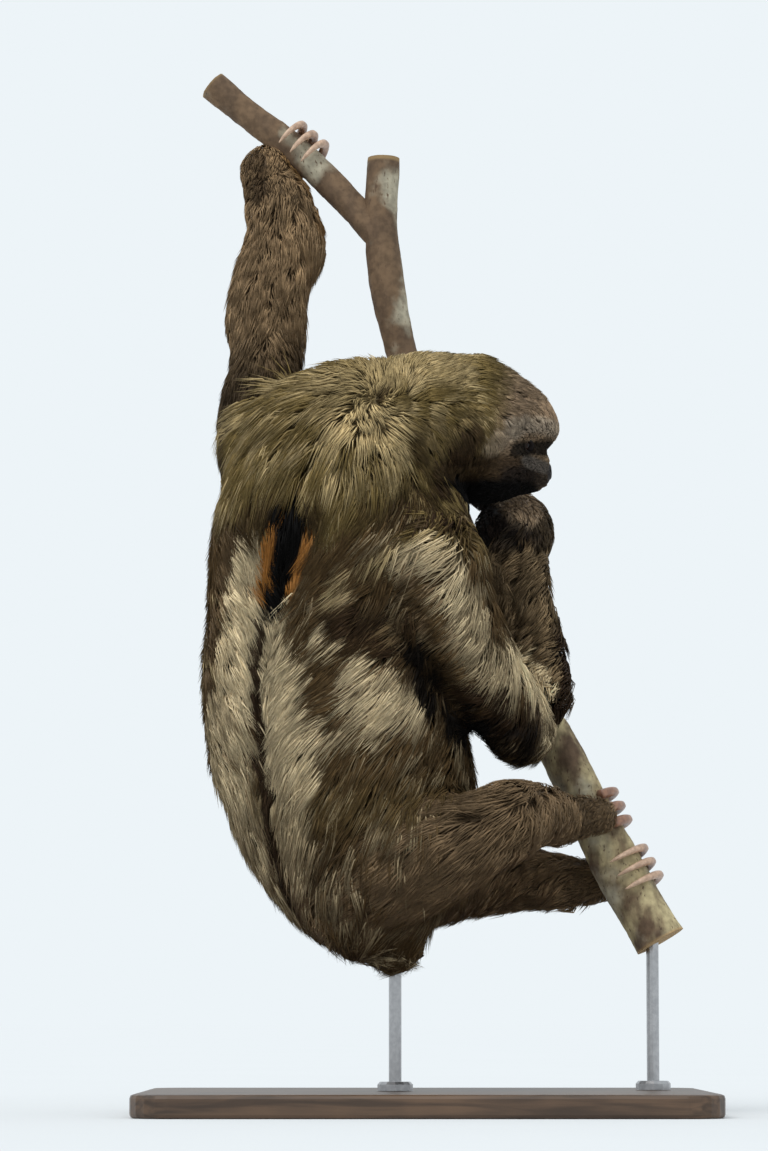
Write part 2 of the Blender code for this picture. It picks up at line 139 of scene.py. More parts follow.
class SlothBranch(bpy.types.PropertyGroup):
    """Colours of the branch and of the stand."""

    bark: colour("Bark", "Brown bark", (110, 89, 69))
    low_bark: colour("Lower bark", "Paler bark, low on the stem", (184, 169, 130))
    lichen: colour("Lichen", "Pale patches on the bark", (164, 156, 136))
    crack: colour("Cracks", "Dark specks and scars in the bark", (96, 78, 62))
    wood: colour("Cut wood", "Sawn ends", (188, 156, 112))
    board: colour("Board", "Stained board of the stand", (92, 70, 52))
    bark_height: length("Bark relief", "Height of the bark's ridges", 0.0007)


# ------------------------------------------------------------------------------- numbers on arrays
def unit(vectors):
    """Vectors divided by their lengths."""
    return vectors / np.maximum(np.linalg.norm(vectors, axis=-1, keepdims=True), 1e-12)


def ramp(value, low, high):
    """0 below low and 1 above high, with the smooth curve 3t^2 - 2t^3 between."""
    t = np.clip((value - low) / (high - low), 0, 1)
    return t * t * (3 - 2 * t)


def bump(value, centre, spread):
    """The bell curve exp(-((value - centre) / spread)^2 / 2)."""
    return np.exp(-0.5 * ((value - centre) / spread) ** 2)


def blend(first, second, share):
    """first where share is 0 and second where it is 1, for plain numbers."""
    return first * (1 - share) + second * share


def mix(first, second, share):
    """The same for rows of three numbers, with one share for all rows or one for each."""
    share = np.asarray(share, float)
    share = share[:, None] if share.ndim == 1 else share
    return np.asarray(first) * (1 - share) + np.asarray(second) * share


def away_from(points, place):
    """Distance of each point from one place."""
    return np.linalg.norm(points - place, axis=1)


def level(ways, normals):
    """The ways with their part along the normals taken out."""
    return ways - normals * np.sum(ways * normals, axis=1, keepdims=True)


def full_turn(count):
    """`count` equal steps round a circle, in radians."""
    return np.arange(count) * 2 * math.pi / count


def spin(turn, first, second):
    """cos(turn) first + sin(turn) second, for an array of angles."""
    return np.cos(turn)[..., None] * first + np.sin(turn)[..., None] * second


def scatter(cells, seed):
    """A number from 0 to 1 for each row of whole numbers, that looks random and is always the same."""
    x, y, z = (cells[..., i] for i in range(3))
    h = ((x * 73856093) ^ (y * 19349663) ^ (z * 83492791) ^ (seed * 668265263)) & 0xFFFFFFFF
    for shift, factor in ((15, 2246822519), (13, 3266489917)):
        h = ((h ^ (h >> shift)) * factor) & 0xFFFFFFFF
    return ((h ^ (h >> 16)) & 0xFFFFFF) / 0xFFFFFF


def noise(points, size, seed=0):
    """Smooth value noise from -1 to 1: scattered numbers at the corners of cubes, blended between them."""
    q = points / size
    cell = np.floor(q).astype(np.int64)
    share = q - cell
    share = share * share * (3 - 2 * share)
    total = np.zeros(len(points))
    for corner in np.ndindex(2, 2, 2):
        weight = np.prod(np.where(np.array(corner) == 1, share, 1 - share), axis=1)
        total += weight * scatter(cell + np.array(corner), seed)
    return total * 2 - 1


def smooth_rows(knots, steps):
    """Catmull-Rom rows through the knots, `steps` to each span, ends included."""
    k = np.array(knots, float)
    k = np.vstack([2 * k[0] - k[1], k, 2 * k[-1] - k[-2]])
    t = np.arange(steps)[:, None] / steps
    rows = [
        0.5 * (2 * b + (c - a) * t + (2 * a - 5 * b + 4 * c - d) * t**2 + (3 * b - a - 3 * c + d) * t**3)
        for a, b, c, d in zip(k[:-3], k[1:-2], k[2:-1], k[3:])
    ]
    return np.vstack([*rows, k[-2:-1]])


# ------------------------------------------------------------------------------- meshes
def new_piece(name, points, faces, material=None):
    """A mesh object at the origin, shaded smooth. Faces are an array with one row of corners each."""
    mesh = bpy.data.meshes.new(name)
    faces = np.asarray(faces)
    mesh.vertices.add(len(points))
    mesh.vertices.foreach_set("co", np.asarray(points, np.float32).ravel())
    mesh.loops.add(faces.size)
    mesh.loops.foreach_set("vertex_index", faces.astype(np.int32).ravel())
    mesh.polygons.add(len(faces))
    mesh.polygons.foreach_set("loop_start", np.arange(0, faces.size, faces.shape[1], dtype=np.int32))
    mesh.update(calc_edges=True)
    mesh.validate()
    mesh.shade_smooth()
    if material:
        mesh.materials.append(material)
    piece = bpy.data.objects.new(name, mesh)
    bpy.context.scene.collection.objects.link(piece)
    return piece


def read(items, key, width, kind=np.float32):
    """One property of all these parts of a mesh, as rows of `width` numbers."""
    values = np.empty(len(items) * width, kind)
    items.foreach_get(key, values)
    return values.reshape(-1, width)


def piece_points(piece):
    """A mesh's points, and its faces cut into triangles."""
    piece.data.calc_loop_triangles()
    points = read(piece.data.vertices, "co", 3).astype(float)
    return points, read(piece.data.loop_triangles, "vertices", 3, np.int32)


def edge_pairs(piece):
    """The two points of each edge, as rows."""
    return read(piece.data.edges, "vertices", 2, np.int32)


def move_points(piece, points):
    """Puts the mesh's points at these places."""
    piece.data.vertices.foreach_set("co", points.astype(np.float32).ravel())
    piece.data.update()


def corners(points, triangles):
    """The three corners of each triangle."""
    return [points[triangles[:, i]] for i in range(3)]


def random_shares(dice, count):
    """Two numbers for each of `count` places, that put it anywhere in a triangle with equal chance."""
    u, v = dice.random((2, count, 1))
    flip = (u + v) > 1
    return np.where(flip, 1 - u, u), np.where(flip, 1 - v, v)


def nearest_of(points):
    """A function that gives, for rows of points, the number of the nearest of these."""
    tree = KDTree(len(points))
    for i, p in enumerate(points):
        tree.insert(p, i)
    tree.balance()
    return lambda asked: np.array([tree.find(p)[1] for p in asked])


def set_colour(piece, name, values):
    """Stores a colour for each point of the piece."""
    layer = piece.data.color_attributes.new(name, "FLOAT_COLOR", "POINT")
    rows = np.column_stack([values, np.ones(len(values))])
    layer.data.foreach_set("color", rows.astype(np.float32).ravel())


def tube_faces(rows, sides):
    """Quads between rings of points, then triangles to a point at each end, as two arrays."""
    ring = np.arange(sides)
    after = (ring + 1) % sides
    steps = np.arange(rows - 1)[:, None] * sides
    a, b = (steps + ring).ravel(), (steps + after).ravel()
    quads = np.column_stack([a, b, b + sides, a + sides])
    last_ring, first, last = (rows - 1) * sides, rows * sides, rows * sides + 1
    start = np.column_stack([np.full(sides, first), after, ring])
    end = np.column_stack([np.full(sides, last), last_ring + ring, last_ring + after])
    return quads, np.vstack([start, end])


def closed_tube(name, rings, first, last, material=None):
    """A closed surface from an array of rings, (rows, sides, 3), and the point that closes each end."""
    rows, sides = rings.shape[:2]
    quads, caps = tube_faces(rows, sides)
    halves = np.vstack([quads[:, [0, 1, 2]], quads[:, [0, 2, 3]], caps])
    piece = new_piece(name, np.vstack([rings.reshape(-1, 3), first, last]), halves, material)
    outward(piece)
    return piece


def outward(piece):
    """Turns the faces of a closed piece outwards."""
    work = bmesh.new()
    work.from_mesh(piece.data)
    bmesh.ops.recalc_face_normals(work, faces=work.faces)
    if work.calc_volume(signed=True) < 0:
        bmesh.ops.reverse_faces(work, faces=work.faces)
    work.to_mesh(piece.data)
    work.free()


def applied(piece):
    """The piece with its modifiers made part of its mesh."""
    graph = bpy.context.evaluated_depsgraph_get()
    mesh = bpy.data.meshes.new_from_object(piece.evaluated_get(graph))
    piece.modifiers.clear()
    piece.data = mesh
    return piece


def joined(first, second):
    """The first piece with the second united to it, as one closed surface."""
    cut = first.modifiers.new("join", "BOOLEAN")
    cut.operation = "UNION"
    cut.solver = "MANIFOLD"
    cut.object = second
    applied(first)
    bpy.data.objects.remove(second)
    return first


def evened(piece, cell):
    """The piece with its surface made anew of even faces with sides of `cell`."""
    even = piece.modifiers.new("even", "REMESH")
    even.mode = "VOXEL"
    even.voxel_size = cell
    return applied(piece)


def dressed(piece, material):
    """The piece with this one material, shaded smooth."""
    piece.data.materials.clear()
    piece.data.materials.append(material)
    piece.data.shade_smooth()
    return piece


# ------------------------------------------------------------------------------- shader node groups
def new_group(name, inputs, outputs):
    """An empty node group with its sockets. Inputs and outputs are (name, socket type, default)."""
    tree = bpy.data.node_groups.new(name, "ShaderNodeTree")
    for side, sockets in (("INPUT", inputs), ("OUTPUT", outputs)):
        for label, kind, *default in sockets:
            made = tree.interface.new_socket(name=label, in_out=side, socket_type=kind)
            if default:
                made.default_value = default[0]
    return tree, tree.nodes.new("NodeGroupInput"), tree.nodes.new("NodeGroupOutput")


def add_node(tree, kind, inputs=None, **settings):
    """A shader node with its settings. Its inputs are given values, or sockets to link."""
    node = tree.nodes.new("ShaderNode" + kind)
    for name, value in settings.items():
        setattr(node, name, value)
    for key, value in (inputs or {}).items():
        if isinstance(value, bpy.types.NodeSocket):
            tree.links.new(value, node.inputs[key])
        else:
            node.inputs[key].default_value = value
    return node


def object_place(tree, stretch=None):
    """Object coordinates, stretched along the axes where a stretch is given."""
    place = add_node(tree, "TexCoord").outputs["Object"]
    if stretch is None:
        return place
    return add_node(tree, "Mapping", {"Vector": place, "Scale": stretch}).outputs["Vector"]


def cloud_node(tree, place, scale, detail=2.0, distortion=0.0):
    """Soft noise at these coordinates."""
    inputs = {"Vector": place, "Scale": scale, "Detail": detail, "Distortion": distortion}
    return add_node(tree, "TexNoise", inputs).outputs["Fac"]


def ramp_node(tree, low, high, factor):
    """A smooth step on a value between two places, as a Map Range node."""
    inputs = {"From Min": low, "From Max": high, "Value": factor}
    return add_node(tree, "MapRange", inputs, interpolation_type="SMOOTHSTEP").outputs["Result"]


def blend_node(tree, factor, first, second, mode="MIX"):
    """A Mix node for colours. Each is a socket, or three or four numbers."""
    first, second = (c if isinstance(c, bpy.types.NodeSocket) else (*c, 1)[:4] for c in (first, second))
    inputs = {0: factor, 6: first, 7: second}
    return add_node(tree, "Mix", inputs, data_type="RGBA", blend_type=mode).outputs[2]


def mottle_group():
    """Node group: a colour varied lighter and darker in soft patches of a given size."""
    tree, given, out = new_group(
        "soft_mottle",
        [
            ("Colour", "NodeSocketColor"),
            ("Size", "NodeSocketFloat", 0.01),
            ("Amount", "NodeSocketFloat", 0.2),
        ],
        [("Colour", "NodeSocketColor")],
    )
    colour, amount = given.outputs["Colour"], given.outputs["Amount"]
    inverse = add_node(tree, "Math", {0: 1.0, 1: given.outputs["Size"]}, operation="DIVIDE").outputs[0]
    mask = ramp_node(tree, 0.3, 0.7, cloud_node(tree, object_place(tree), inverse, 3))
    darker = blend_node(tree, amount, colour, (0, 0, 0))
    lighter = blend_node(tree, amount, colour, (1, 0.97, 0.9), "SOFT_LIGHT")
    tree.links.new(blend_node(tree, mask, darker, lighter), out.inputs["Colour"])
    return tree


def soft_mottle(tree, colour, size, amount):
    """The mottle group placed in a material, and the colour that it puts out."""
    group = bpy.data.node_groups.get("soft_mottle") or mottle_group()
    inputs = {"Colour": colour, "Size": size, "Amount": amount}
    return add_node(tree, "Group", inputs, node_tree=group).outputs["Colour"]


def principled(name, roughness, specular=0.5, metallic=0.0):
    """A material, its node tree and its Principled shader."""
    made = bpy.data.materials.new(name)
    made.use_nodes = True
    shader = made.node_tree.nodes["Principled BSDF"]
    shader.inputs["Roughness"].default_value = roughness
    shader.inputs["Specular IOR Level"].default_value = specular
    shader.inputs["Metallic"].default_value = metallic
    return made, made.node_tree, shader


def mottled(name, roughness, specular, colour, size, amount, metallic=0.0):
    """The same with a mottled colour, which is four numbers or the name of what the mesh stores."""
    made, tree, shader = principled(name, roughness, specular, metallic)
    if isinstance(colour, str):
        colour = stored_colour(tree, colour)
    tree.links.new(soft_mottle(tree, colour, size, amount), shader.inputs["Base Color"])
    return made, tree, shader


def stored_colour(tree, name):
    """The colour that the mesh stores under this name."""
    return add_node(tree, "VertexColor", layer_name=name).outputs["Color"]


def relief(tree, shader, height, strength, distance):
    """A Bump node from a height to the shader's normal."""
    bumps = add_node(tree, "Bump", {"Height": height, "Strength": strength, "Distance": distance})
    tree.links.new(bumps.outputs["Normal"], shader.inputs["Normal"])


# ------------------------------------------------------------------------------- the nodes' places
NODE_SAMPLES = {"torso": 6000}  # points taken on a node to find which is nearest, 1800 on the others
SLICE_REACH = 0.022  # half the height of a level slice of the trunk


def node_points(name):
    """Points of a CAD node, as rows."""
    return piece_points(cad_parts[name])[0]


def node_centre(name):
    """Middle of a CAD node's box."""
    low, high = (np.array(c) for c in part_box(name))
    return (low + high) / 2


def by_node(table):
    """The values of a table of the body's parts, in the order of FLESH."""
    return np.array([table[n if n in table else n[:-2]] for n in FLESH])


def node_sample(name, count, dice):
    """Points spread evenly over a node's surface."""
    a, b, c = corners(*piece_points(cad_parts[name]))
    area = np.linalg.norm(np.cross(b - a, c - a), axis=1)
    chosen = dice.choice(len(area), count, p=area / area.sum())
    u, v = random_shares(dice, count)
    return a[chosen] + u * (b - a)[chosen] + v * (c - a)[chosen]


def nearest_node():
    """A function that gives, for rows of points, the index in FLESH of the nearest node."""
    dice = np.random.default_rng(SEED)
    samples = [node_sample(n, NODE_SAMPLES.get(n, 1800), dice) for n in FLESH]
    owner = np.repeat(np.arange(len(FLESH)), [len(s) for s in samples])
    find = nearest_of(np.vstack(samples))
    return lambda points: owner[find(points)]


def torso_slices():
    """Heights of level slices through the trunk, and their centres as rows of two numbers."""
    points = node_points("torso")
    z = points[:, 2]
    heights = np.linspace(z.min() + 0.02, z.max() - 0.02, 16)
    slices = [points[abs(z - height) < SLICE_REACH, :2] for height in heights]
    return heights, np.array([(near.min(0) + near.max(0)) / 2 for near in slices])


# ------------------------------------------------------------------------------- the head's form
HEAD_CENTRE = np.array([0.048, 0.004, 0.5424])
HEAD_HALF_WIDTH = 0.0500
MUZZLE_ANGLE = -31.0  # degrees from straight ahead, negative below
EYE_ANGLE, EYE_SIDE = -20.5, 31.5  # degrees below straight ahead, and to the side
HEAD_OUTLINE = {  # seen from the side: degrees from straight ahead, and distance to the coat's tips
    "brow": (2, 0.0600),
    "forehead": (26, 0.0558),
    "hairline": (50, 0.0545),
    "crown": (86, 0.0605),
    "nape": (135, 0.0560),
    "back": (180, 0.0500),
    "ruff": (228, 0.0600),
    "throat": (250, 0.0580),
    "jaw": (285, 0.0558),
    "chin": (309, 0.0560),
    "lip": (328, 0.0520),
    "nose_bridge": (345, 0.0500),
}
HEAD_FORMS = {  # height, degrees above straight ahead and their spread, degrees to the side and their spread
    "muzzle": (0.0112, MUZZLE_ANGLE - 3, 11, 0, 13),
    "nose_dip": (-0.0024, -15, 5, 0, 16),
    "eye_hollow": (-0.0090, EYE_ANGLE + 1, 12, EYE_SIDE, 13),
    "cheek": (0.0020, -62, 20, 38, 16),
}


def head_angles(ahead, left, up):
    """Angles of unit vectors above straight ahead and to the side, in degrees."""
    return np.degrees(np.arctan2(up, ahead)), np.degrees(np.arcsin(np.clip(left, -1, 1)))


def head_reach(ahead, left, up):
    """Distance from the head's centre to the coat's tips, in directions given as unit vectors.

    The outline from the side is a closed curve through HEAD_OUTLINE, smoothed by a bell curve. Each
    slice through the sideways axis is an ellipse. The forms of the face are bell curves on it.
    """
    down_up, aside = head_angles(ahead, left, up)
    marks = np.array(sorted(HEAD_OUTLINE.values()))
    turns = np.concatenate([marks[:, 0] - 360, marks[:, 0], marks[:, 0] + 360])
    fine = np.linspace(-360, 720, 1081)
    curve = np.interp(fine, turns, np.tile(marks[:, 1], 3))
    soft = np.exp(-0.5 * (np.arange(-21, 22) / 7.0) ** 2)
    curve = np.convolve(curve, soft / soft.sum(), "same")
    outline = np.interp(down_up % 360, fine, curve)
    reach = 1 / np.sqrt((np.cos(np.radians(aside)) / outline) ** 2 + (left / HEAD_HALF_WIDTH) ** 2)
    for height, above, tall, beside, wide in HEAD_FORMS.values():
        reach = reach + height * bump(down_up, above, tall) * bump(abs(aside), beside, wide)
    return reach


def head_way(down_up, aside):
    """The direction at these angles in degrees."""
    t, s = np.radians(down_up), np.radians(aside)
    return np.stack([np.cos(s) * np.cos(t), np.sin(s), np.cos(s) * np.sin(t)], axis=-1)


NOSE_TIP = HEAD_CENTRE + head_way(MUZZLE_ANGLE, 0.0) * head_reach(*head_way(MUZZLE_ANGLE, 0.0))


def face_coat(points):
    """Depth of the coat on the head: thin at the muzzle and eyes, and thick towards the nape."""
    return np.interp(
        away_from(points, NOSE_TIP),
        [0.008, 0.022, 0.045, 0.070, 0.110],
        [0.0009, 0.0018, 0.0028, 0.0055, 0.0100],
    )


def face_folds(way):
    """How far the skin of the face stands above its plain form, for unit directions.

    Two lids are a raised ring, flatter above and below than at its ends, round a hollow for the eye.
    The nostrils are two pits in a low pad, and the mouth is a groove that rises at its corners, with
    the lip's low roll under it.
    """
    down_up, aside = head_angles(*way.T)
    over_nose = down_up - MUZZLE_ANGLE
    folds = np.zeros(len(way))
    for side in (-1, 1):
        across = (aside - side * EYE_SIDE) * side
        slant = down_up - EYE_ANGLE - 0.18 * across
        lid = np.hypot(across / 6.6, slant / 4.7)
        folds += 0.0030 * bump(lid, 1.42, 0.34) * (1 + 0.25 * ramp(slant, -2, 4))
        folds -= 0.0042 * (1 - ramp(lid, 0.75, 1.15))
        pit = np.hypot((aside - side * 4.0) / 1.9, (over_nose - 0.5) / 1.5)
        folds -= 0.0020 * (1 - ramp(pit, 0.5, 1.25))
    pad = np.hypot(aside / 8.5, (over_nose - 1.0) / 5.0)
    folds += 0.0009 * (1 - ramp(pad, 0.75, 1.15))
    mouth = MUZZLE_ANGLE - 11.5 + 8.0 * (np.abs(aside) / 40) ** 2
    folds -= 0.0013 * bump(down_up, mouth, 0.9) * (1 - ramp(np.abs(aside), 26, 40))
    folds += 0.0006 * bump(down_up, mouth - 3.2, 1.8) * (1 - ramp(np.abs(aside), 20, 38))
    return folds


def head_skin(rows, sides):
    """The head's skin as rings round the muzzle's axis, closer together on the face."""
    spread = (np.arange(1, rows + 1) / (rows + 1)) ** 1.35 * math.pi
    turn = full_turn(sides)
    ahead = np.cos(spread)[:, None] * np.ones(sides)
    left = np.sin(spread)[:, None] * np.cos(turn)
    up = np.sin(spread)[:, None] * np.sin(turn)
    tilt = math.radians(MUZZLE_ANGLE)
    cos, sin = math.cos(tilt), math.sin(tilt)
    ahead, up = ahead * cos - up * sin, ahead * sin + up * cos
    pole = np.array([[cos, 0, sin]])
    way = np.vstack([np.stack([ahead, left, up], axis=-1).reshape(-1, 3), pole, -pole])
    reach = head_reach(*way.T)
    reach = reach - face_coat(HEAD_CENTRE + way * reach[:, None]) + face_folds(way)
    points = HEAD_CENTRE + way * reach[:, None]
    return closed_tube("head_form", points[:-2].reshape(rows, sides, 3), points[-2], points[-1])


# ------------------------------------------------------------------------------- markings
def stroke(flat, path, radius, soft):
    """1 within `radius` of a path of straight runs, falling to 0 over `soft`. Rows are in two dimensions."""
    best = np.full(len(flat), np.inf)
    for start, end in zip(np.array(path[:-1], float), np.array(path[1:], float)):
        along = np.clip(((flat - start) @ (end - start)) / ((end - start) @ (end - start)), 0, 1)
        best = np.minimum(best, np.linalg.norm(flat - start - along[:, None] * (end - start), axis=1))
    return 1 - ramp(best, radius, radius + soft)


# The middle of the back, which is turned a little to the animal's left: heights, and angles round the trunk.
SPINE_HEIGHTS = [0.16, 0.208, 0.28, 0.328, 0.396, 0.456, 0.52]
SPINE_TURN = np.radians([-62, -54, -42, -37, -31, -24, -19])
BACK_RADIUS = 0.1  # of the flat map of the back


class Body:
    """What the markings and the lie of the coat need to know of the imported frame."""

    def __init__(self):
        self.nearest = nearest_node()
        self.heights, self.centres = torso_slices()
        self.eyes = [node_centre(n) for n in ("eye_L", "eye_R")]

    def axis(self, points):
        """The trunk's middle at each point's height, as rows of two numbers."""
        return np.column_stack([np.interp(points[:, 2], self.heights, self.centres[:, i]) for i in range(2)])

    def round_trunk(self, points):
        """Angle round the trunk from the middle of the back, in radians: negative to the animal's left."""
        x, y = self.axis(points).T
        turn = np.arctan2(points[:, 0] - x, y - points[:, 1])
        turn = turn - np.interp(points[:, 2], SPINE_HEIGHTS, SPINE_TURN)
        return (turn + math.pi) % (2 * math.pi) - math.pi

    def from_eye(self, points):
        """Distance to the nearer eye's middle, and the direction away from it."""
        away = np.stack([points - e for e in self.eyes])
        distance = np.linalg.norm(away, axis=2)
        near = np.argmin(distance, axis=0)
        rows = np.arange(len(points))
        return distance[near, rows], unit(away[near, rows])

    def is_node(self, owner, *names):
        """Where the owner is one of these nodes."""
        return np.isin(owner, [FLESH.index(n) for n in names])


class Palette:
    """The coat's colours, each as an array."""

    def __getattr__(self, name):
        return np.array(getattr(bpy.context.scene.sloth_coat, name))


class Tint:
    """Base colour, streak colour, and the share of tufts that take the streak's, for rows of points."""

    def __init__(self, colour, streak, share):
        self.colour, self.streak, self.share = colour, streak, share

    def lay(self, on, colour, streak, share=None):
        """Blends in these where `on` is 1."""
        on = np.asarray(on, float)
        self.colour, self.streak = mix(self.colour, colour, on), mix(self.streak, streak, on)
        if share is not None:
            self.share = blend(self.share, share, on)

    def lay_marks(self, look, flat, marks, on=1.0):
        """Blends in marks, in their order, where `on` is 1."""
        for name, streaks, odds, strength, path, radius, soft in marks:
            here = stroke(flat, path, radius, soft) * strength * on
            self.lay(here, getattr(look, name), getattr(look, streaks) * 1.2, odds)


WHORL = np.array([-0.0405, -0.0450, 0.5660])  # where the hair of nape, crown and shoulders parts
FACE_MARKS = [  # colour, strength, path ahead of and above the middle of the head, radius, softness
    ("ruff", 0.55, [(-0.046, -0.014), (-0.034, -0.024), (-0.012, -0.030)], 0.0110, 0.0160),
    ("ruff", 0.45, [(-0.016, -0.006), (-0.010, 0.002)], 0.0050, 0.0110),
    ("brow", 0.50, [(0.022, -0.003), (0.012, -0.011), (0.004, -0.019)], 0.0036, 0.0060),
    ("brow", 0.95, [(0.056, 0.002), (0.043, 0.0035), (0.030, 0.002), (0.022, -0.003)], 0.0038, 0.0055),
    ("dark", 0.85, [(-0.008, -0.008), (-0.014, -0.019), (-0.024, -0.024)], 0.0040, 0.0080),
    # dark lower cheek and jaw: partly the coat's dark brown, partly painted shade under the jaw
    ("dark", 0.85, [(0.030, -0.034), (0.006, -0.034), (-0.016, -0.036), (-0.030, -0.038)], 0.0080, 0.0080),
    ("hand", 0.85, [(0.046, -0.036), (0.020, -0.040)], 0.0055, 0.0060),
    ("muzzle", 0.95, [(0.034, -0.0255), (0.047, -0.0285)], 0.0036, 0.0035),
    ("black", 0.90, [(0.052, -0.0125), (0.038, -0.0145), (0.024, -0.0180)], 0.0036, 0.0042),
    # black throat: partly dark throat fur, partly painted shade under the head
    ("black", 1.00, [(0.034, -0.0540), (0.000, -0.0540), (-0.026, -0.0550)], 0.0095, 0.0070),
]


def marks_of_head(tint, look, flat):
    """Lays the face's marks over the crown's colour, from the lightest to the darkest."""
    tint.lay(ramp(flat[:, 0] - 0.2 * flat[:, 1], -0.002, 0.022), look.face, look.face * 1.5)
    for name, strength, path, radius, soft in FACE_MARKS:
        on = stroke(flat, path, radius, soft) * strength
        tint.lay(on, getattr(look, name), getattr(look, name) * 1.4)
        tint.share = tint.share * (1 - 0.4 * on)
    return tint


# Marks: colour, streaks' colour, their share, strength, path, radius, softness.
BACK_MARKS = [  # on the flat map of the back: distance across from its middle, and height
    # painted light: a lighter band along the back's left edge
    ("grey_brown", "straw", 0.25, 0.6, [(-0.062, 0.440), (-0.066, 0.390), (-0.064, 0.340)], 0.0110, 0.012),
    ("cream", "cream", 0.55, 1.0, [(-0.033, 0.428), (-0.032, 0.38), (-0.031, 0.31)], 0.0180, 0.007),
    ("cream", "flank", 0.34, 0.95, [(-0.032, 0.285), (-0.034, 0.22)], 0.0180, 0.009),
    ("cream", "cream", 0.55, 1.0, [(0.002, 0.386), (0.006, 0.368)], 0.0105, 0.006),
    ("cream", "cream", 0.55, 1.0, [(0.010, 0.350), (0.016, 0.322)], 0.0165, 0.007),
    ("cream", "cream", 0.50, 0.9, [(0.021, 0.294), (0.026, 0.258)], 0.0205, 0.009),
    ("cream", "flank", 0.45, 0.6, [(0.022, 0.232), (0.014, 0.200)], 0.0180, 0.014),
    ("cream", "grey_brown", 0.35, 0.7, [(-0.054, 0.306), (-0.056, 0.262), (-0.046, 0.220)], 0.0150, 0.012),
    ("grey_brown", "cream", 0.45, 0.8, [(-0.030, 0.196), (-0.008, 0.176), (0.014, 0.156)], 0.0240, 0.022),
]
SPINE_MARKS = [  # the same, crisp and over the cape
    # painted shadow under the cape's lower edge
    ("dark", "olive", 0.30, 0.80, [(-0.052, 0.462), (-0.020, 0.466), (0.016, 0.462)], 0.0060, 0.018),
    ("dark", "flank", 0.12, 0.97,
     [(-0.002, 0.388), (-0.007, 0.376), (-0.010, 0.354), (-0.006, 0.322), (-0.002, 0.291),
      (0.001, 0.252), (0.003, 0.206), (-0.002, 0.160)], 0.0036, 0.0022),
    ("orange", "orange", 0.45, 1.0, [(-0.021, 0.446), (-0.020, 0.428), (-0.016, 0.406)], 0.0055, 0.004),
    ("orange", "orange", 0.45, 0.9, [(0.016, 0.444), (0.014, 0.428), (0.010, 0.404)], 0.0036, 0.004),
    ("black", "black", 0.0, 1.0, [(-0.016, 0.463), (0.004, 0.459)], 0.0080, 0.006),
    ("black", "black", 0.0, 1.0, [(-0.003, 0.452), (-0.003, 0.430)], 0.0112, 0.003),
    ("black", "black", 0.0, 1.0, [(-0.003, 0.430), (-0.002, 0.412)], 0.0096, 0.003),
    ("black", "black", 0.0, 1.0, [(-0.002, 0.412), (-0.003, 0.392)], 0.0076, 0.003),
]
SIDE_MARKS = [  # seen from the side: distance ahead of the origin, and height
    # painted shadow: a thin dark line under the cape's lower edge
    ("dark", "flank", 0.25, 0.6,
     [(-0.052, 0.468), (-0.020, 0.464), (0.020, 0.460), (0.034, 0.452)], 0.0035, 0.007),
    ("flank", "straw", 0.60, 0.8,
     [(-0.072, 0.404), (-0.059, 0.415), (-0.040, 0.424), (-0.028, 0.432)], 0.0060, 0.009),
    ("flank", "cream", 0.50, 0.8,
     [(-0.084, 0.366), (-0.070, 0.361), (-0.056, 0.352), (-0.040, 0.342)], 0.0060, 0.008),
    ("grey_brown", "cream", 0.70, 0.9, [(-0.055, 0.326), (-0.036, 0.318), (-0.018, 0.314)], 0.0140, 0.014),
    ("flank", "cream", 0.64, 0.7, [(-0.078, 0.286), (-0.059, 0.290), (-0.040, 0.296)], 0.0060, 0.010),
    # painted shade under the near arm
    ("dark", "flank", 0.40, 0.85,
     [(-0.066, 0.385), (-0.044, 0.375), (-0.030, 0.364), (-0.018, 0.376)], 0.0095, 0.009),
    ("flank", "grey_brown", 0.50, 0.8, [(-0.010, 0.408), (0.000, 0.392), (0.006, 0.372)], 0.0090, 0.009),
    ("cream", "cream", 0.60, 0.9, [(-0.012, 0.430), (0.006, 0.429), (0.020, 0.421)], 0.0092, 0.008),
    ("cream", "cream", 0.60, 0.95, [(0.020, 0.410), (0.027, 0.394), (0.034, 0.376)], 0.0105, 0.009),
    ("cream", "flank", 0.45, 0.75, [(0.034, 0.360), (0.048, 0.344), (0.062, 0.330)], 0.0090, 0.009),
    ("cream", "cream", 0.50, 0.8, [(0.088, 0.304), (0.102, 0.290)], 0.0070, 0.008),
    # painted shade under the near arm's elbow
    ("dark", "forearm", 0.25, 0.95, [(0.028, 0.322), (0.050, 0.308), (0.078, 0.300)], 0.0110, 0.007),
    # painted shadow: a broad dark band under the cape's lower edge
    ("dark", "olive", 0.40, 0.90, [(-0.006, 0.472), (0.014, 0.470), (0.034, 0.462)], 0.0160, 0.012),
    # painted shade under the near arm's elbow
    ("black", "dark", 0.40, 0.80, [(0.040, 0.304), (0.056, 0.294), (0.076, 0.288)], 0.0070, 0.007),
    # painted shade in the crease between the near arm and the flank
    ("black", "dark", 0.15, 0.95,
     [(-0.011, 0.358), (-0.001, 0.339), (0.011, 0.320), (0.026, 0.303), (0.040, 0.294)],
     0.0080, 0.008),
]
CAPE_MARKS = [  # the same, over neck and shoulders
    ("straw", "straw", 0.60, 0.85, [(-0.064, 0.541), (-0.034, 0.537)], 0.0110, 0.020),
    ("straw", "straw", 0.50, 0.62,
     [(-0.085, 0.572), (-0.050, 0.585), (0.000, 0.592), (0.030, 0.590)], 0.0070, 0.014),
    ("dark", "olive", 0.40, 0.80, [(-0.037, 0.558), (-0.034, 0.566), (-0.029, 0.576)], 0.0018, 0.0050),
]
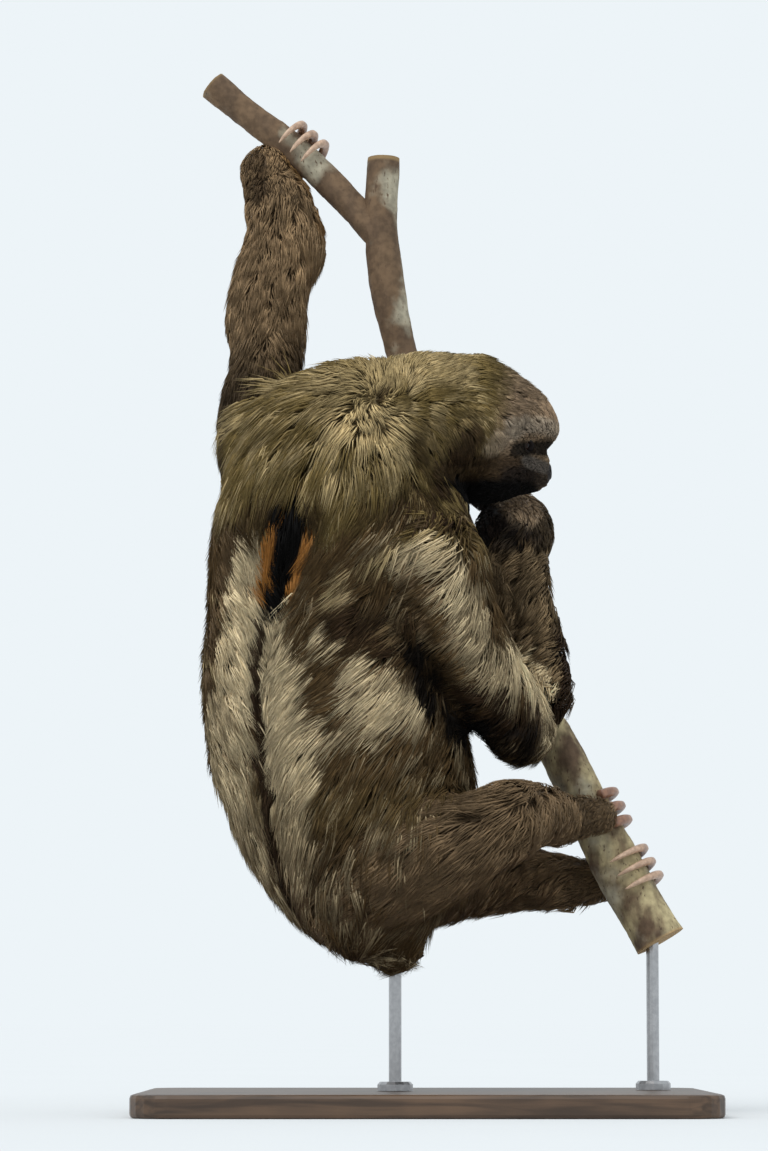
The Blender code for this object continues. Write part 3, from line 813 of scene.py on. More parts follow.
RAISED_ARM_SHADE = (  # heights on the raised arm, and how light the coat is there: a painted shade, deepest low down by the shoulders, lifting towards the hand
    [0.50, 0.58, 0.605, 0.64, 0.70, 0.75, 0.80],
    [0.33, 0.34, 0.54, 1.42, 1.66, 1.75, 2.05],
)
FLANK_RISE = (0.20, 0.27)  # heights between which the rump's colour turns into the flank's
CAPE_EDGE = (0.443, 0.458)  # and the flank's into the cape's
# Paths of the arms' marks, seen from the side.
KNUCKLES = [(-0.141, 0.786), (-0.139, 0.758)]
WRIST_EDGE = [(-0.112, 0.794), (-0.095, 0.772), (-0.080, 0.742), (-0.079, 0.722)]
# painted shadow along the edge of the cheek's ruff
CHEEK_SHADOW_LINE = [(-0.010, 0.532), (0.000, 0.505), (0.018, 0.486)]
ELBOW_PATCH = [(0.072, 0.352), (0.082, 0.342), (0.092, 0.330)]
ELBOW_EDGE = [(0.107, 0.384), (0.115, 0.362), (0.115, 0.340), (0.107, 0.316)]
# painted highlight: a pale patch on the folded hand's top, under the chin
HAND_TOP_HIGHLIGHT = [(0.071, 0.500), (0.082, 0.483)]
WRIST_SHADE = [(0.050, 0.474), (0.057, 0.458), (0.090, 0.466)]


def marks_of_trunk(tint, look, points, turn):
    """Brown flanks under an olive cape, with the marks of the back on a flat map of it."""
    z = points[:, 2]
    across = turn * BACK_RADIUS
    ragged = 0.004 * noise(points, 0.012, 5)
    tint.lay(ramp(z, *FLANK_RISE), look.flank, mix(look.cream, look.flank, 0.5), 0.28)
    back = np.column_stack([across + ragged, z + 0.005 * noise(points, 0.016, 6)])
    tint.lay_marks(look, back, BACK_MARKS)
    edge = z + 2 * ragged - 0.35 * np.clip(np.abs(across) - 0.04, 0, 0.08)
    tint.lay(ramp(edge, *CAPE_EDGE), look.olive, look.straw, 0.42)
    tint.lay_marks(look, np.column_stack([across + 0.3 * ragged, z]), SPINE_MARKS)
    return tint


def marks_of_arms(tint, look, body, points, owner):
    """Raised arm under a painted shade, dark low down and lighter above, with a tan edge at the wrist. Folded
    arm with a brown upper part, a mottled forearm and a near-black hand, pale at the elbow, with painted
    shade across the wrist and a pale painted highlight on the hand's top."""
    x, y, z = points.T
    side = points[:, [0, 2]]
    raised = body.is_node(owner, "upper_arm_L", "forearm_L", "hand_L")
    # painted shade on the raised arm: darkest low down by the shoulders, lighter towards the hand
    raised_shade = np.where(raised, np.interp(z, *RAISED_ARM_SHADE), 1.0)[:, None]
    tint.colour, tint.streak = tint.colour * raised_shade, tint.streak * raised_shade
    tint.lay(raised * stroke(side, WRIST_EDGE, 0.0040, 0.0060), look.tan, look.tan)
    tint.lay(raised * stroke(side, KNUCKLES, 0.0060, 0.0100) * 0.7, look.dark, look.forearm)
    tint.lay(raised * (1 - ramp(z, 0.500, 0.560)) * ramp(y, 0.010, 0.045), look.olive, look.straw)

    upper = body.is_node(owner, "upper_arm_R")
    fold = body.is_node(owner, "forearm_R")
    patch = stroke(side, ELBOW_PATCH, 0.0115, 0.006)
    tint.lay(upper, look.flank, mix(look.cream, look.flank, 0.4), 0.30)
    tint.lay(upper * ramp(z, 0.420, 0.460), look.olive, look.straw)
    tint.lay(fold, look.forearm, look.forearm * 2.2, 0.30)
    tint.lay(patch * upper * ramp(x, 0.056, 0.072) * 0.9, look.cream * 1.2, look.cream * 1.4)
    tint.lay(fold * patch, look.cream * 1.45, look.cream * 1.75)
    tint.lay(fold * stroke(side, ELBOW_EDGE, 0.0055, 0.0045), look.dark, look.forearm, 0.3)
    tint.lay(fold * stroke(side, WRIST_SHADE, 0.0080, 0.0120) * 0.85, look.hand, look.dark)

    hand = body.is_node(owner, "hand_R")
    front = hand * ramp(x, 0.078, 0.100) * (1 - ramp(y, 0.075, 0.095)) * 0.7
    # pale is a painted highlight on the hand's top, kept off its +Y side
    pale = hand * stroke(side, HAND_TOP_HIGHLIGHT, 0.0100, 0.0110) * (1 - ramp(y, 0.070, 0.090))
    tint.lay(hand, look.hand, look.hand * 1.8, 0.25)
    tint.lay(front, look.forearm * 0.55, look.forearm)
    tint.lay(pale, look.face * 1.5, look.brow * 1.6)


def markings(body, points, owner):
    """The coat's colours at rows of points that belong to these nodes, as a Tint."""
    look = Palette()
    count = len(points)
    y, z = points[:, 1], points[:, 2]
    side = points[:, [0, 2]]
    tint = Tint(np.tile(look.olive, (count, 1)), np.tile(look.straw, (count, 1)), np.full(count, 0.40))
    tint.lay(body.is_node(owner, *LIMB_NODES, "tail"), look.grey_brown, look.grey_brown * 1.7, 0.30)
    marks_of_arms(tint, look, body, points, owner)

    trunk = body.is_node(owner, "torso")
    low = trunk * (1 - ramp(z, *FLANK_RISE))
    tint.lay(low, look.flank, mix(look.cream, look.flank, 0.45))
    marked = marks_of_trunk(copy(tint), look, points, body.round_trunk(points))
    tint.lay(trunk, marked.colour, marked.streak, marked.share)

    # The side marks, laid on the -Y side only, hold painted shade under the cape's edge and under and beside
    # the near arm.
    near = body.is_node(owner, "torso", "upper_arm_R") * (1 - ramp(y, -0.025, 0.005))
    near = near * (1 - 0.55 * ramp(noise(points * (1, 1, 0.8), 0.011, 17), 0.10, 0.55))
    ragged = side + 0.006 * np.column_stack([noise(points, 0.014, s) for s in (8, 9)])
    tint.lay_marks(look, ragged, SIDE_MARKS, near)
    near = body.is_node(owner, "torso", "neck", "head") * (1 - ramp(y, 0.020, 0.045))
    tint.lay_marks(look, ragged, CAPE_MARKS, near)

    marked = marks_of_head(copy(tint), look, (points - HEAD_CENTRE)[:, [0, 2]])
    tint.lay(body.is_node(owner, "head", "neck"), marked.colour, marked.streak, marked.share)
    # A dark line along the cheek's edge, on the -Y side only, is painted shadow; ruff here names that line.
    near = body.is_node(owner, "head", "neck", "torso") & (y < 0)
    ruff = stroke(side, CHEEK_SHADOW_LINE, 0.0022, 0.0060) * near
    tint.colour, tint.share = mix(tint.colour, look.dark, 0.6 * ruff), tint.share * (1 - 0.6 * ruff)
    return tint


# ------------------------------------------------------------------------------- skin
COAT_DEPTH = {
    "head": 0.006, "neck": 0.015, "torso": 0.015, "tail": 0.006,
    "upper_arm": 0.011, "forearm": 0.0095, "hand": 0.0045,
    "thigh": 0.013, "shin": 0.009, "foot": 0.0035,
}
SKIN_CELL = 0.0038  # side of the skin's faces
HEAD_ROWS, HEAD_SIDES = 150, 200  # the face has finer ones
BARE_SKIN = linear(26, 20, 19)


def depth_of(points, owner):
    """Depth of the coat at points that belong to these nodes: the node's own, and less near the head."""
    near_head = np.interp(away_from(points, HEAD_CENTRE), [0.055, 0.090, 0.115], [0.40, 0.65, 1.0])
    return by_node(COAT_DEPTH)[owner] * near_head


def mean_of_neighbours(values, edges, count):
    """For each point, the mean of the values at the points it shares an edge with."""
    degree = np.bincount(edges.ravel(), minlength=count)
    one, other = edges.T
    total = np.column_stack([
        np.bincount(one, column[other], count) + np.bincount(other, column[one], count)
        for column in values.reshape(count, -1).T
    ])
    return total / np.maximum(degree, 1)[:, None]


def surface_normals(points, triangles):
    """Outward normals at the points, as the sum of the normals of the triangles round each."""
    a, b, c = corners(points, triangles)
    face = np.cross(b - a, c - a)
    total = np.column_stack([
        sum(np.bincount(triangles[:, i], face[:, k], len(points)) for i in range(3)) for k in range(3)
    ])
    return unit(total)


NAPE_CENTRE, NAPE_SIZE = (0.032, 0.0, 0.552), (0.042, 0.051, 0.057)
DEPTH_EVENINGS = 14  # how often the coat's depth is evened out over the skin
INWARD_STEPS, STEP_EVENINGS = 5, 3  # steps from the coat's tips to the skin, and evenings of the form in each
CREASE_EVENINGS, NORMAL_EVENINGS = 26, 14  # and of the crease behind the head, and of the normals


def body_form(body, cell):
    """The trunk, neck, tail and limbs as one surface, moved in from the coat's tips by the coat's depth.

    An egg-shaped form in the nape carries the neck's line on into the head.
    """
    work = bmesh.new()
    for name in FLESH:
        if name != "head":
            work.from_mesh(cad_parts[name].data)
    nape = Matrix.LocRotScale(NAPE_CENTRE, None, NAPE_SIZE)
    bmesh.ops.create_uvsphere(work, u_segments=32, v_segments=24, radius=1.0, matrix=nape)
    bmesh.ops.remove_doubles(work, verts=work.verts, dist=1e-6)
    mesh = bpy.data.meshes.new("flesh")
    work.to_mesh(mesh)
    work.free()
    form = bpy.data.objects.new("flesh", mesh)
    bpy.context.scene.collection.objects.link(form)
    evened(form, cell)

    points, triangles = piece_points(form)
    edges, count = edge_pairs(form), len(points)
    depth = depth_of(points, body.nearest(points))
    for _ in range(DEPTH_EVENINGS):
        depth = mean_of_neighbours(depth, edges, count).ravel()
    for _ in range(INWARD_STEPS):
        for _ in range(STEP_EVENINGS):
            points = mix(points, mean_of_neighbours(points, edges, count), 0.5)
        points = points - surface_normals(points, triangles) * (depth / INWARD_STEPS)[:, None]
    move_points(form, points)
    return evened(form, cell)


SWELLINGS = [  # middle, reach and height of the places where the skin is raised or sunk
    ((0.020, -0.015, 0.466), 0.042, 0.0060),
    ((0.050, 0.034, 0.460), 0.034, 0.0070),
    ((0.050, 0.062, 0.482), 0.028, 0.0060),
    ((0.036, -0.055, 0.452), 0.036, 0.0070),
    ((-0.048, -0.028, 0.598), 0.040, 0.0040),
    ((0.002, -0.006, 0.598), 0.031, 0.0042),
    ((-0.100, -0.036, 0.588), 0.045, -0.0060),
    ((0.100, 0.000, 0.556), 0.034, 0.0026),
    ((0.090, 0.000, 0.499), 0.020, 0.0020),
    ((0.096, 0.062, 0.470), 0.034, 0.0050),
    ((-0.172, 0.000, 0.315), 0.085, 0.0045),
    ((-0.155, 0.020, 0.560), 0.060, 0.0055),
    ((-0.129, 0.128, 0.783), 0.026, 0.0090),
    ((-0.150, 0.088, 0.674), 0.056, 0.0078),
    ((-0.088, 0.090, 0.668), 0.032, -0.0050),
    ((-0.142, 0.106, 0.729), 0.030, 0.0050),
    ((-0.084, 0.098, 0.715), 0.028, 0.0045),
]


def shape_skin(skin):
    """Evens out the crease where the head meets neck and shoulders, then moves the places in SWELLINGS
    along their normals: shoulders, crown, brow, elbows, wrists and loins."""
    points, triangles = piece_points(skin)
    edges = edge_pairs(skin)
    behind = ramp(away_from(points, NOSE_TIP), 0.070, 0.088)
    behind = behind * (1 - ramp(away_from(points, HEAD_CENTRE), 0.085, 0.115))
    for _ in range(CREASE_EVENINGS):
        points = mix(points, mean_of_neighbours(points, edges, len(points)), 0.6 * behind)
    normals = surface_normals(points, triangles)
    for middle, radius, height in SWELLINGS:
        near = 1 - ramp(away_from(points, middle), 0.35 * radius, radius)
        points = points + normals * (height * near)[:, None]
    move_points(skin, points)


def skin_material():
    """Dark skin with fine pores."""
    made, tree, shader = mottled("skin", 0.60, 0.16, "skin_colour", 0.004, 0.25)
    pores = add_node(tree, "TexVoronoi", {"Vector": object_place(tree), "Scale": 1400})
    relief(tree, shader, pores.outputs["Distance"], 0.35, 0.0003)
    return made


def build_skin(body):
    """One skin for the whole animal, in one closed surface."""
    skin = joined(body_form(body, SKIN_CELL), head_skin(HEAD_ROWS, HEAD_SIDES))
    skin.name = skin.data.name = "skin"
    shape_skin(skin)
    dressed(skin, skin_material())
    points = piece_points(skin)[0]
    tint = markings(body, points, body.nearest(points))
    shade = mix(tint.colour, tint.streak, 0.4 * tint.share) * 0.55
    bare = 1 - ramp(away_from(points, NOSE_TIP), 0.008, 0.013)
    bare = np.maximum(bare, 1 - ramp(body.from_eye(points)[0], 0.0085, 0.0110))
    set_colour(skin, "skin_colour", mix(shade, BARE_SKIN, bare))
    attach(skin, "root")
    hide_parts(*FLESH)
    return skin


# ------------------------------------------------------------------------------- the lie of the coat
DOWN = np.array([0.0, 0.0, -1.0])
BACKWARD = np.array([-0.7, 0.0, -0.9])  # the way of the hair under the throat
LIMB_LIE = {  # ways that differ from "towards the next node nearer the trunk"
    "upper_arm_R": (-1.0, 0.10, -0.10),
    "upper_arm_L": (0.1, -0.1, -1.0),
    "thigh_R": (-1.0, 0.25, -0.15),
    "thigh_L": (-1.0, -0.25, -0.15),
}


def homeward(name):
    """The way the hair lies on a limb: to the next node nearer the trunk, or as LIMB_LIE has it."""
    part, side = name.rsplit("_", 1)
    parent = f"{PARENT[part]}_{side}" if part in PARENT else "torso"
    return np.array(LIMB_LIE.get(name, unit(node_centre(parent) - node_centre(name))))


def lie_of_trunk(body, points):
    """Down and towards the middle of the back, but straight down along the middle and the belly."""
    turn = body.round_trunk(points)
    out = np.column_stack([points[:, :2] - body.axis(points), np.zeros(len(points))])
    around = unit(np.cross(out, DOWN))
    sway = -np.sign(turn) * np.minimum(np.abs(turn) / 0.6, 1) * (1 - ramp(np.abs(turn), 2.4, 3.0))
    sway = sway * (0.25 + 0.85 * ramp(points[:, 2], 0.22, 0.33))
    return DOWN + around * sway[:, None]


def lie_of_cape(points, normals):
    """Out from the whorl, a little turned round it, and falling further off. Back under the throat."""
    x, _, z = points.T
    away = away_from(points, WHORL)
    out = unit(points - WHORL)
    radial = out + 0.80 * np.cross(normals, out) * (1 - ramp(away, 0.01, 0.06))[:, None]
    fall = ramp(away, 0.02, 0.09) * (0.55 + 0.6 * (1 - ramp(z, 0.53, 0.57)))
    radial = radial + DOWN * fall[:, None]
    under = ramp(-normals[:, 2], 0.0, 0.5) * ramp(x, -0.020, 0.010) * (1 - ramp(z, 0.53, 0.55))
    return mix(radial, BACKWARD, under)


def lie(body, points, normals, owner):
    """Direction in which the hair lies at each point: a field projected on the skin.

    Hair parts at the whorl on the nape and runs out from it over crown and shoulders. On the limbs it
    runs from the claws to the body, and where the skin faces away from there, down. On the face it runs
    back from the nose, and round the eyes away from them. Soft noise loosens it.
    """
    upper = ramp(points[:, 2], 0.450, 0.510) * body.is_node(owner, "torso")
    upper = np.maximum(upper, body.is_node(owner, "neck", "head"))
    field = mix(lie_of_trunk(body, points), lie_of_cape(points, normals), upper)
    for name in LIMB_NODES:
        way = homeward(name)
        facing = ramp(-normals @ unit(way), 0.35, 0.80)
        on = body.is_node(owner, name)[:, None]
        field = np.where(on, mix(way + 0.5 * DOWN, DOWN, facing), field)
    face = body.is_node(owner, "head") * (1 - ramp(away_from(points, NOSE_TIP), 0.050, 0.078))
    field = mix(field, unit((points - NOSE_TIP) * (1, 1, 0.55) + (-0.02, 0, 0)), face)
    gap, from_eye = body.from_eye(points)
    field = mix(field, from_eye, (1 - ramp(gap, 0.0085, 0.0160)) * 0.9)
    loose = (0.42 + 0.22 * (1 - ramp(away_from(points, WHORL), 0.02, 0.06))) * (1 - 0.75 * face)
    field = field + loose[:, None] * np.column_stack([noise(points, 0.018, s) for s in (11, 12, 13)])
    return unit(level(field, normals))


HAIR = {  # length and width of a tuft against that of the trunk
    "neck": (0.72, 0.9), "torso": (1.0, 1.0), "tail": (0.45, 0.8), "head": (1.0, 1.0),
    "upper_arm": (0.88, 0.95), "forearm": (0.72, 0.90), "hand": (0.30, 0.62),
    "thigh": (0.85, 1.0), "shin": (0.62, 0.9), "foot": (0.22, 0.55),
}
FACE_STEPS = [0.006, 0.018, 0.034, 0.050, 0.066, 0.095, 0.125]  # distances from the nose
FACE_HAIR = [0.0018, 0.0034, 0.0054, 0.0080, 0.0115, 0.020, 0.026]  # length of the tufts there
FACE_WIDTHS = [0.40, 0.46, 0.56, 0.66, 0.78, 0.9, 1.0]  # and width, against the trunk's
TRUNK_HAIR, SPINE_HAIR = 0.042, 0.018
BREAST = (0.064, -0.026, 0.462)  # the hollow between throat and near shoulder, where the hair is short


def hair_size(body, points, owner):
    """Length and width of the tuft at each root."""
    z = points[:, 2]
    torso = body.is_node(owner, "torso")
    reach, wide = by_node(HAIR)[owner].T.copy()
    reach *= TRUNK_HAIR
    reach *= 1 + 0.25 * (torso * ramp(z, 0.440, 0.470) * (1 - ramp(z, 0.500, 0.530)))
    reach *= 1 - 0.45 * (1 - ramp(away_from(points, BREAST), 0.030, 0.062))
    reach *= 0.40 + 0.60 * ramp(away_from(points, WHORL), 0.004, 0.055)
    reach *= np.interp(away_from(points, HEAD_CENTRE), [0.055, 0.085, 0.105], [0.55, 0.72, 1.0])
    distance = away_from(points, NOSE_TIP)
    head = body.is_node(owner, "head")
    reach = np.where(head, np.interp(distance, FACE_STEPS, FACE_HAIR), reach)
    wide = np.where(head, np.interp(distance, FACE_STEPS, FACE_WIDTHS), wide)
    reach *= np.interp(body.from_eye(points)[0], [0.0065, 0.0150], [0.40, 1.0])
    middle = torso * (1 - ramp(np.abs(body.round_trunk(points)), 0.14, 0.30)) * (1 - ramp(z, 0.460, 0.475))
    reach = blend(reach, SPINE_HAIR, middle * 0.8)
    return reach, wide * bpy.context.scene.sloth_coat.width


FULLER_PLACES = [  # middle, radius and added share of the places where the coat stands higher
    ((0.117, 0.010, 0.344), 0.026, 0.80),
    ((0.050, 0.034, 0.460), 0.034, 0.45),
    ((0.036, -0.055, 0.452), 0.034, 0.45),
]


def fullness(points):
    """Share by which the coat is deeper than usual: elbow, wrist and the front of the shoulder."""
    added = np.zeros(len(points))
    for middle, radius, share in FULLER_PLACES:
        away = np.linalg.norm((points - middle) * (1, 0.6, 1), axis=1)
        added = np.maximum(added, share * (1 - ramp(away, 0.4 * radius, radius)))
    return added


class Surface:
    """The skin as something to walk on, with its smooth normals and places for roots."""

    def __init__(self, skin):
        self.points, self.triangles = piece_points(skin)
        self.normals = surface_normals(self.points, self.triangles)
        edges = edge_pairs(skin)
        plain = ramp(away_from(self.points, NOSE_TIP), 0.050, 0.075)
        for _ in range(NORMAL_EVENINGS):
            even = mean_of_neighbours(self.normals, edges, len(self.points))
            self.normals = unit(mix(self.normals, even, 0.2 + 0.8 * plain))
        self.tree = BVHTree.FromPolygons([Vector(p) for p in self.points], self.triangles.tolist())

    def nearest(self, points):
        """The nearest places on the skin, with the skin's smooth normals there."""
        found = [self.tree.find_nearest(p) for p in points]
        place = np.array([f[0] for f in found])
        triangle = self.triangles[[f[2] for f in found]]
        a, b, c = corners(self.points, triangle)
        sides = ((b, c), (c, a), (a, b))
        weight = np.stack([np.linalg.norm(np.cross(q - p, place - p), axis=1) for p, q in sides], axis=1)
        weight = weight / np.maximum(weight.sum(1, keepdims=True), 1e-12)
        normal = sum(self.normals[triangle[:, i]] * weight[:, i:i + 1] for i in range(3))
        return place, unit(normal)

    def roots(self, allowed, count, dice):
        """Places spread evenly over the allowed triangles, as points, normals, triangles and the area.

        The triangles' areas are laid end to end, and one place is taken at random in each equal step.
        """
        chosen = np.flatnonzero(allowed)
        a, b, c = corners(self.points, self.triangles[chosen])
        area = np.linalg.norm(np.cross(b - a, c - a), axis=1)
        mark = (np.arange(count) + dice.random(count)) / count * area.sum()
        pick = np.minimum(np.searchsorted(np.cumsum(area), mark), len(chosen) - 1)
        u, v = random_shares(dice, count)
        triangle = self.triangles[chosen[pick]]
        weights = (1 - u - v, u, v)
        place = sum(self.points[triangle[:, i]] * weights[i] for i in range(3))
        normal = sum(self.normals[triangle[:, i]] * weights[i] for i in range(3))
        return place, unit(normal), triangle, area.sum() / 2


def unwrap(points, owner):
    """Place of each root on an unwrap of the skin: one strip for each node, with the angle round the node's
    long axis across the strip, and the distance along that axis up it."""
    present = np.unique(owner)
    place = np.zeros((len(points), 2))
    for strip, index in enumerate(present):
        on = owner == index
        cloud = node_points(FLESH[index])
        centre = cloud.mean(0)
        axes = np.linalg.svd(cloud - centre, full_matrices=False)[2]
        along, first, second = ((points[on] - centre) @ axes.T[:, [i]] for i in range(3))
        angle = np.arctan2(second, first) / (2 * math.pi) + 0.5
        extent = (cloud - centre) @ axes[0]
        up = (along - extent.min()) / (extent.max() - extent.min())
        place[on, 0] = ((strip + 0.03 + 0.94 * angle) / len(present)).ravel()
        place[on, 1] = np.clip(0.02 + 0.96 * up, 0.01, 0.99).ravel()
    return np.clip(place, 0.004, 0.996)


RINGS = 2  # rings of three points in each tuft, before its tip
ROOT_DEPTH = 0.0006  # how far a tuft's root is sunk in the skin
STEADY = 1.4  # how much a tuft keeps its way as it walks, against the lie of the coat
DROOP = 0.08  # how far tips sink where the skin faces up, against the tuft's length
ROOT_TO_TIP = ([0, 0.5, 1], [0.56, 0.96, 1.10])  # places along a tuft, and how light it is there
STREAK_EDGE = 0.14  # softness of the choice between base and streak colour
PATCH = 0.003  # side of each tuft's patch on the unwrap
RING_WIDTH = np.array([0.72, 1.0])  # widths of the rings against the tuft's
TUFT_COLUMNS = np.array([-0.5, 0.5, 0.0])  # where the three points of a ring stand across the tuft
TUFT_CROWN = np.array([-0.12, -0.12, 0.30])  # and how far they stand out of it


def tuft_faces(count):
    """Triangles of all tufts: a closed spike of three sides, its base shut by one triangle."""
    order = np.array([0, 2, 1])
    after = np.roll(order, -1)
    one = [[0, 1, 2]]
    for ring in range(RINGS - 1):
        a, b = order + 3 * ring, after + 3 * ring
        one += [[p, q, q + 3] for p, q in zip(a, b)] + [[p, q + 3, p + 3] for p, q in zip(a, b)]
    last = 3 * (RINGS - 1)
    one += [[p + last, q + last, 3 * RINGS] for p, q in zip(order, after)]
    return (np.array(one)[None] + np.arange(count)[:, None, None] * (3 * RINGS + 1)).reshape(-1, 3)


def coat_material():
    """Dull hair in the coat's own colours."""
    return mottled("coat_hair", 0.66, 0.12, "coat_colour", 0.0035, 0.12)[0]


def walk(body, surface, root, normal, owner, size, depth, way):
    """Middle lines of tufts and the skin's normals along them: each walks over the skin along the lie of
    the coat, while its height above the skin rises as 1 - (1 - t)^2 to the coat's depth."""
    place, up = root, normal
    line, ups = [root - normal * ROOT_DEPTH], [normal]
    for step in range(1, RINGS + 1):
        share = step / RINGS
        place, up = surface.nearest(place + way * (size / RINGS)[:, None])
        line.append(place + up * (depth * (1 - (1 - share) ** 2))[:, None])
        ups.append(up)
        way = unit(lie(body, place, up, owner) + STEADY * level(way, up))
    return np.stack(line, axis=1), np.stack(ups, axis=1)


def clumps(root, area, spacing, dice):
    """For each tuft, the number of the clump that it belongs to, and the tufts in the clumps' middles."""
    seeds = dice.choice(len(root), min(len(root), max(8, int(area / spacing**2))), replace=False)
    return nearest_of(root[seeds])(root), seeds


def tuft_points(line, ups, width, dice):
    """The two rings of three points and the tip of each tuft, across its middle line and above it."""
    count = len(line)
    ahead = unit(np.gradient(line, axis=1))
    across = unit(np.cross(ahead, ups))
    over = np.cross(across, ahead)
    roll = dice.normal(0, 0.5, (count, 1, 1))
    across, over = across * np.cos(roll) + over * np.sin(roll), over * np.cos(roll) - across * np.sin(roll)
    wide = (width * dice.uniform(0.7, 1.3, count))[:, None] * RING_WIDTH
    section = across[:, :RINGS, None] * TUFT_COLUMNS[:, None] + over[:, :RINGS, None] * TUFT_CROWN[:, None]
    ring = line[:, :RINGS, None] + wide[..., None, None] * section
    return np.concatenate([ring.reshape(count, 3 * RINGS, 3), line[:, RINGS:]], axis=1).reshape(-1, 3)


def store_patches(piece, root, owner, along):
    """The UV map OFBake: each tuft is a small patch at its root's place on the unwrap."""
    patch = np.column_stack([np.concatenate([np.tile(TUFT_COLUMNS, RINGS), [0.0]]), along - 0.5]) * PATCH
    uv = (unwrap(root, owner)[:, None] + patch[None]).reshape(-1, 2)
    layer = piece.data.uv_layers.new(name="OFBake")
    corner = read(piece.data.loops, "vertex_index", 1, np.int32).ravel()
    layer.uv.foreach_set("vector", uv[corner].astype(np.float32).ravel())


CLUMP_PULL = {"coat_face": 0.35, "coat_crown": 0.55}  # how far tips are drawn together, 0.60 on the others


def grow(name, body, surface, allowed, count, owners, dice, spacing):
    """One piece of the coat: `count` tufts rooted on the allowed triangles of the skin.

    Tips are drawn together in clumps. A tuft's colour goes from dark at the root to light at the tip.
    """
    root, normal, triangle, area = surface.roots(allowed, count, dice)
    owner = owners[triangle[:, 0]]
    group, seeds = clumps(root, area, spacing, dice)
    size, width = hair_size(body, root, owner)
    size = size * dice.uniform(0.66, 1.16, count) * (0.85 + 0.3 * dice.random(len(seeds))[group])
    depth = np.where(body.is_node(owner, "head"), face_coat(root), depth_of(root, owner))
    fuller = 1 + fullness(root)
    depth, size = depth * fuller, size * fuller**0.2
    depth = depth * dice.uniform(0.72, 1.08, count) * (0.9 + 0.2 * dice.random(len(seeds))[group])
    depth = np.minimum(depth, size * 0.55)
    way = lie(body, root, normal, owner)
    stray = dice.normal(0, 0.13, count) + dice.normal(0, 0.20, len(seeds))[group]
    way = unit(way + np.cross(normal, way) * stray[:, None])
    line, ups = walk(body, surface, root, normal, owner, size, depth, way)

    share = np.arange(RINGS + 1) / RINGS
    gap = np.linalg.norm(root[seeds][group] - root, axis=1) / spacing
    pull = CLUMP_PULL.get(name, 0.60) * (1 - ramp(gap, 0.9, 1.8)) * dice.uniform(0.45, 1.0, count)
    pull = pull[:, None, None] * share[None, :, None] ** 1.2
    line = line * (1 - pull) + line[seeds][group] * pull
    droop = DROOP * share[None, :, None] ** 2 * size[:, None, None] * DOWN
    line = line + droop * ramp(-ups[..., 2:3], -0.3, 0.6)
    made = bpy.data.materials.get("coat_hair") or coat_material()
    piece = new_piece(name, tuft_points(line, ups, width, dice), tuft_faces(count), made)

    tint = markings(body, mix(line[:, 1], line[:, 2], 0.4), owner)
    chance = 0.40 * dice.random(len(seeds))[group] + 0.20 * dice.random(count)
    chance = chance + 0.20 + 0.24 * noise(root * (1, 1, 0.5), 0.013, 41)
    hair = mix(tint.colour, tint.streak, 1 - ramp(chance, tint.share - STREAK_EDGE, tint.share + STREAK_EDGE))
    glow = (0.80 + 0.40 * dice.random(len(seeds)))[group] * dice.uniform(0.90, 1.10, count)
    glow = glow * (1 + 0.20 * noise(root, 0.026, 31) + 0.16 * noise(root, 0.013, 32))
    along = np.concatenate([np.repeat(share[:RINGS], 3), [1.0]])
    dark_root = np.interp(along, *ROOT_TO_TIP)
    shade = np.clip(hair[:, None] * glow[:, None, None] * dark_root[None, :, None], 0, 1)
    set_colour(piece, "coat_colour", shade.reshape(-1, 3))
    store_patches(piece, root, owner, along)
    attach(piece, "root")
    return piece


SHOULDER_HEIGHT, RUMP_HEIGHT = 0.435, 0.305  # where the trunk's coat is divided
FACE_REACH, BARE_NOSE = 0.066, 0.0085  # how far the face and its bare nose reach from the nose's tip
BARE_LID = 0.0022  # width of bare skin round an eye
CLUMP_SIZE = {"coat_face": 0.42, "coat_crown": 0.8}  # against the clumps of the rest


def build_coat(body, skin):
    """The coat in eight pieces, each with its own stretch of skin."""
    coat, horn = bpy.context.scene.sloth_coat, bpy.context.scene.sloth_horn
    surface = Surface(skin)
    owners = body.nearest(surface.points)
    owner = owners[surface.triangles[:, 0]]
    middle = surface.points[surface.triangles].mean(1)
    z = middle[:, 2]
    from_nose = away_from(middle, NOSE_TIP)
    clear = (body.from_eye(middle)[0] > horn.eye_radius + BARE_LID) & (from_nose > BARE_NOSE)
    head = body.is_node(owner, "head")
    torso = body.is_node(owner, "torso")
    face = head & (from_nose < FACE_REACH)

    def limb(sides, parts):
        """Where the skin belongs to these parts of the limbs on these sides."""
        return body.is_node(owner, *[n for n in LIMB_NODES if n[:-2] in parts and n[-1] in sides])

    places = {
        "coat_face": face & clear,
        "coat_crown": (head & ~face) | body.is_node(owner, "neck"),
        "coat_shoulders": torso & (z > SHOULDER_HEIGHT),
        "coat_flanks": torso & (z <= SHOULDER_HEIGHT) & (z > RUMP_HEIGHT),
        "coat_rump": (torso & (z <= RUMP_HEIGHT)) | body.is_node(owner, "tail"),
        "coat_arm_L": limb("L", ARM_PARTS),
        "coat_arm_R": limb("R", ARM_PARTS),
        "coat_legs": limb("LR", LEG_PARTS),
    }
    for number, (name, allowed) in enumerate(places.items()):
        dice = np.random.default_rng(SEED + 10 + number)
        spacing = coat.clump * CLUMP_SIZE.get(name, 1.0)
        piece = grow(name, body, surface, allowed, coat.tufts, owners, dice, spacing)


# ------------------------------------------------------------------------------- eyes and claws
EYE_ROWS, EYE_SIDES = 40, 48
EYE_BACK = 0.965  # radius of the ball behind its cornea, against the whole
PUPIL, EYE_WHITE = linear(3, 2, 2), linear(60, 40, 30)


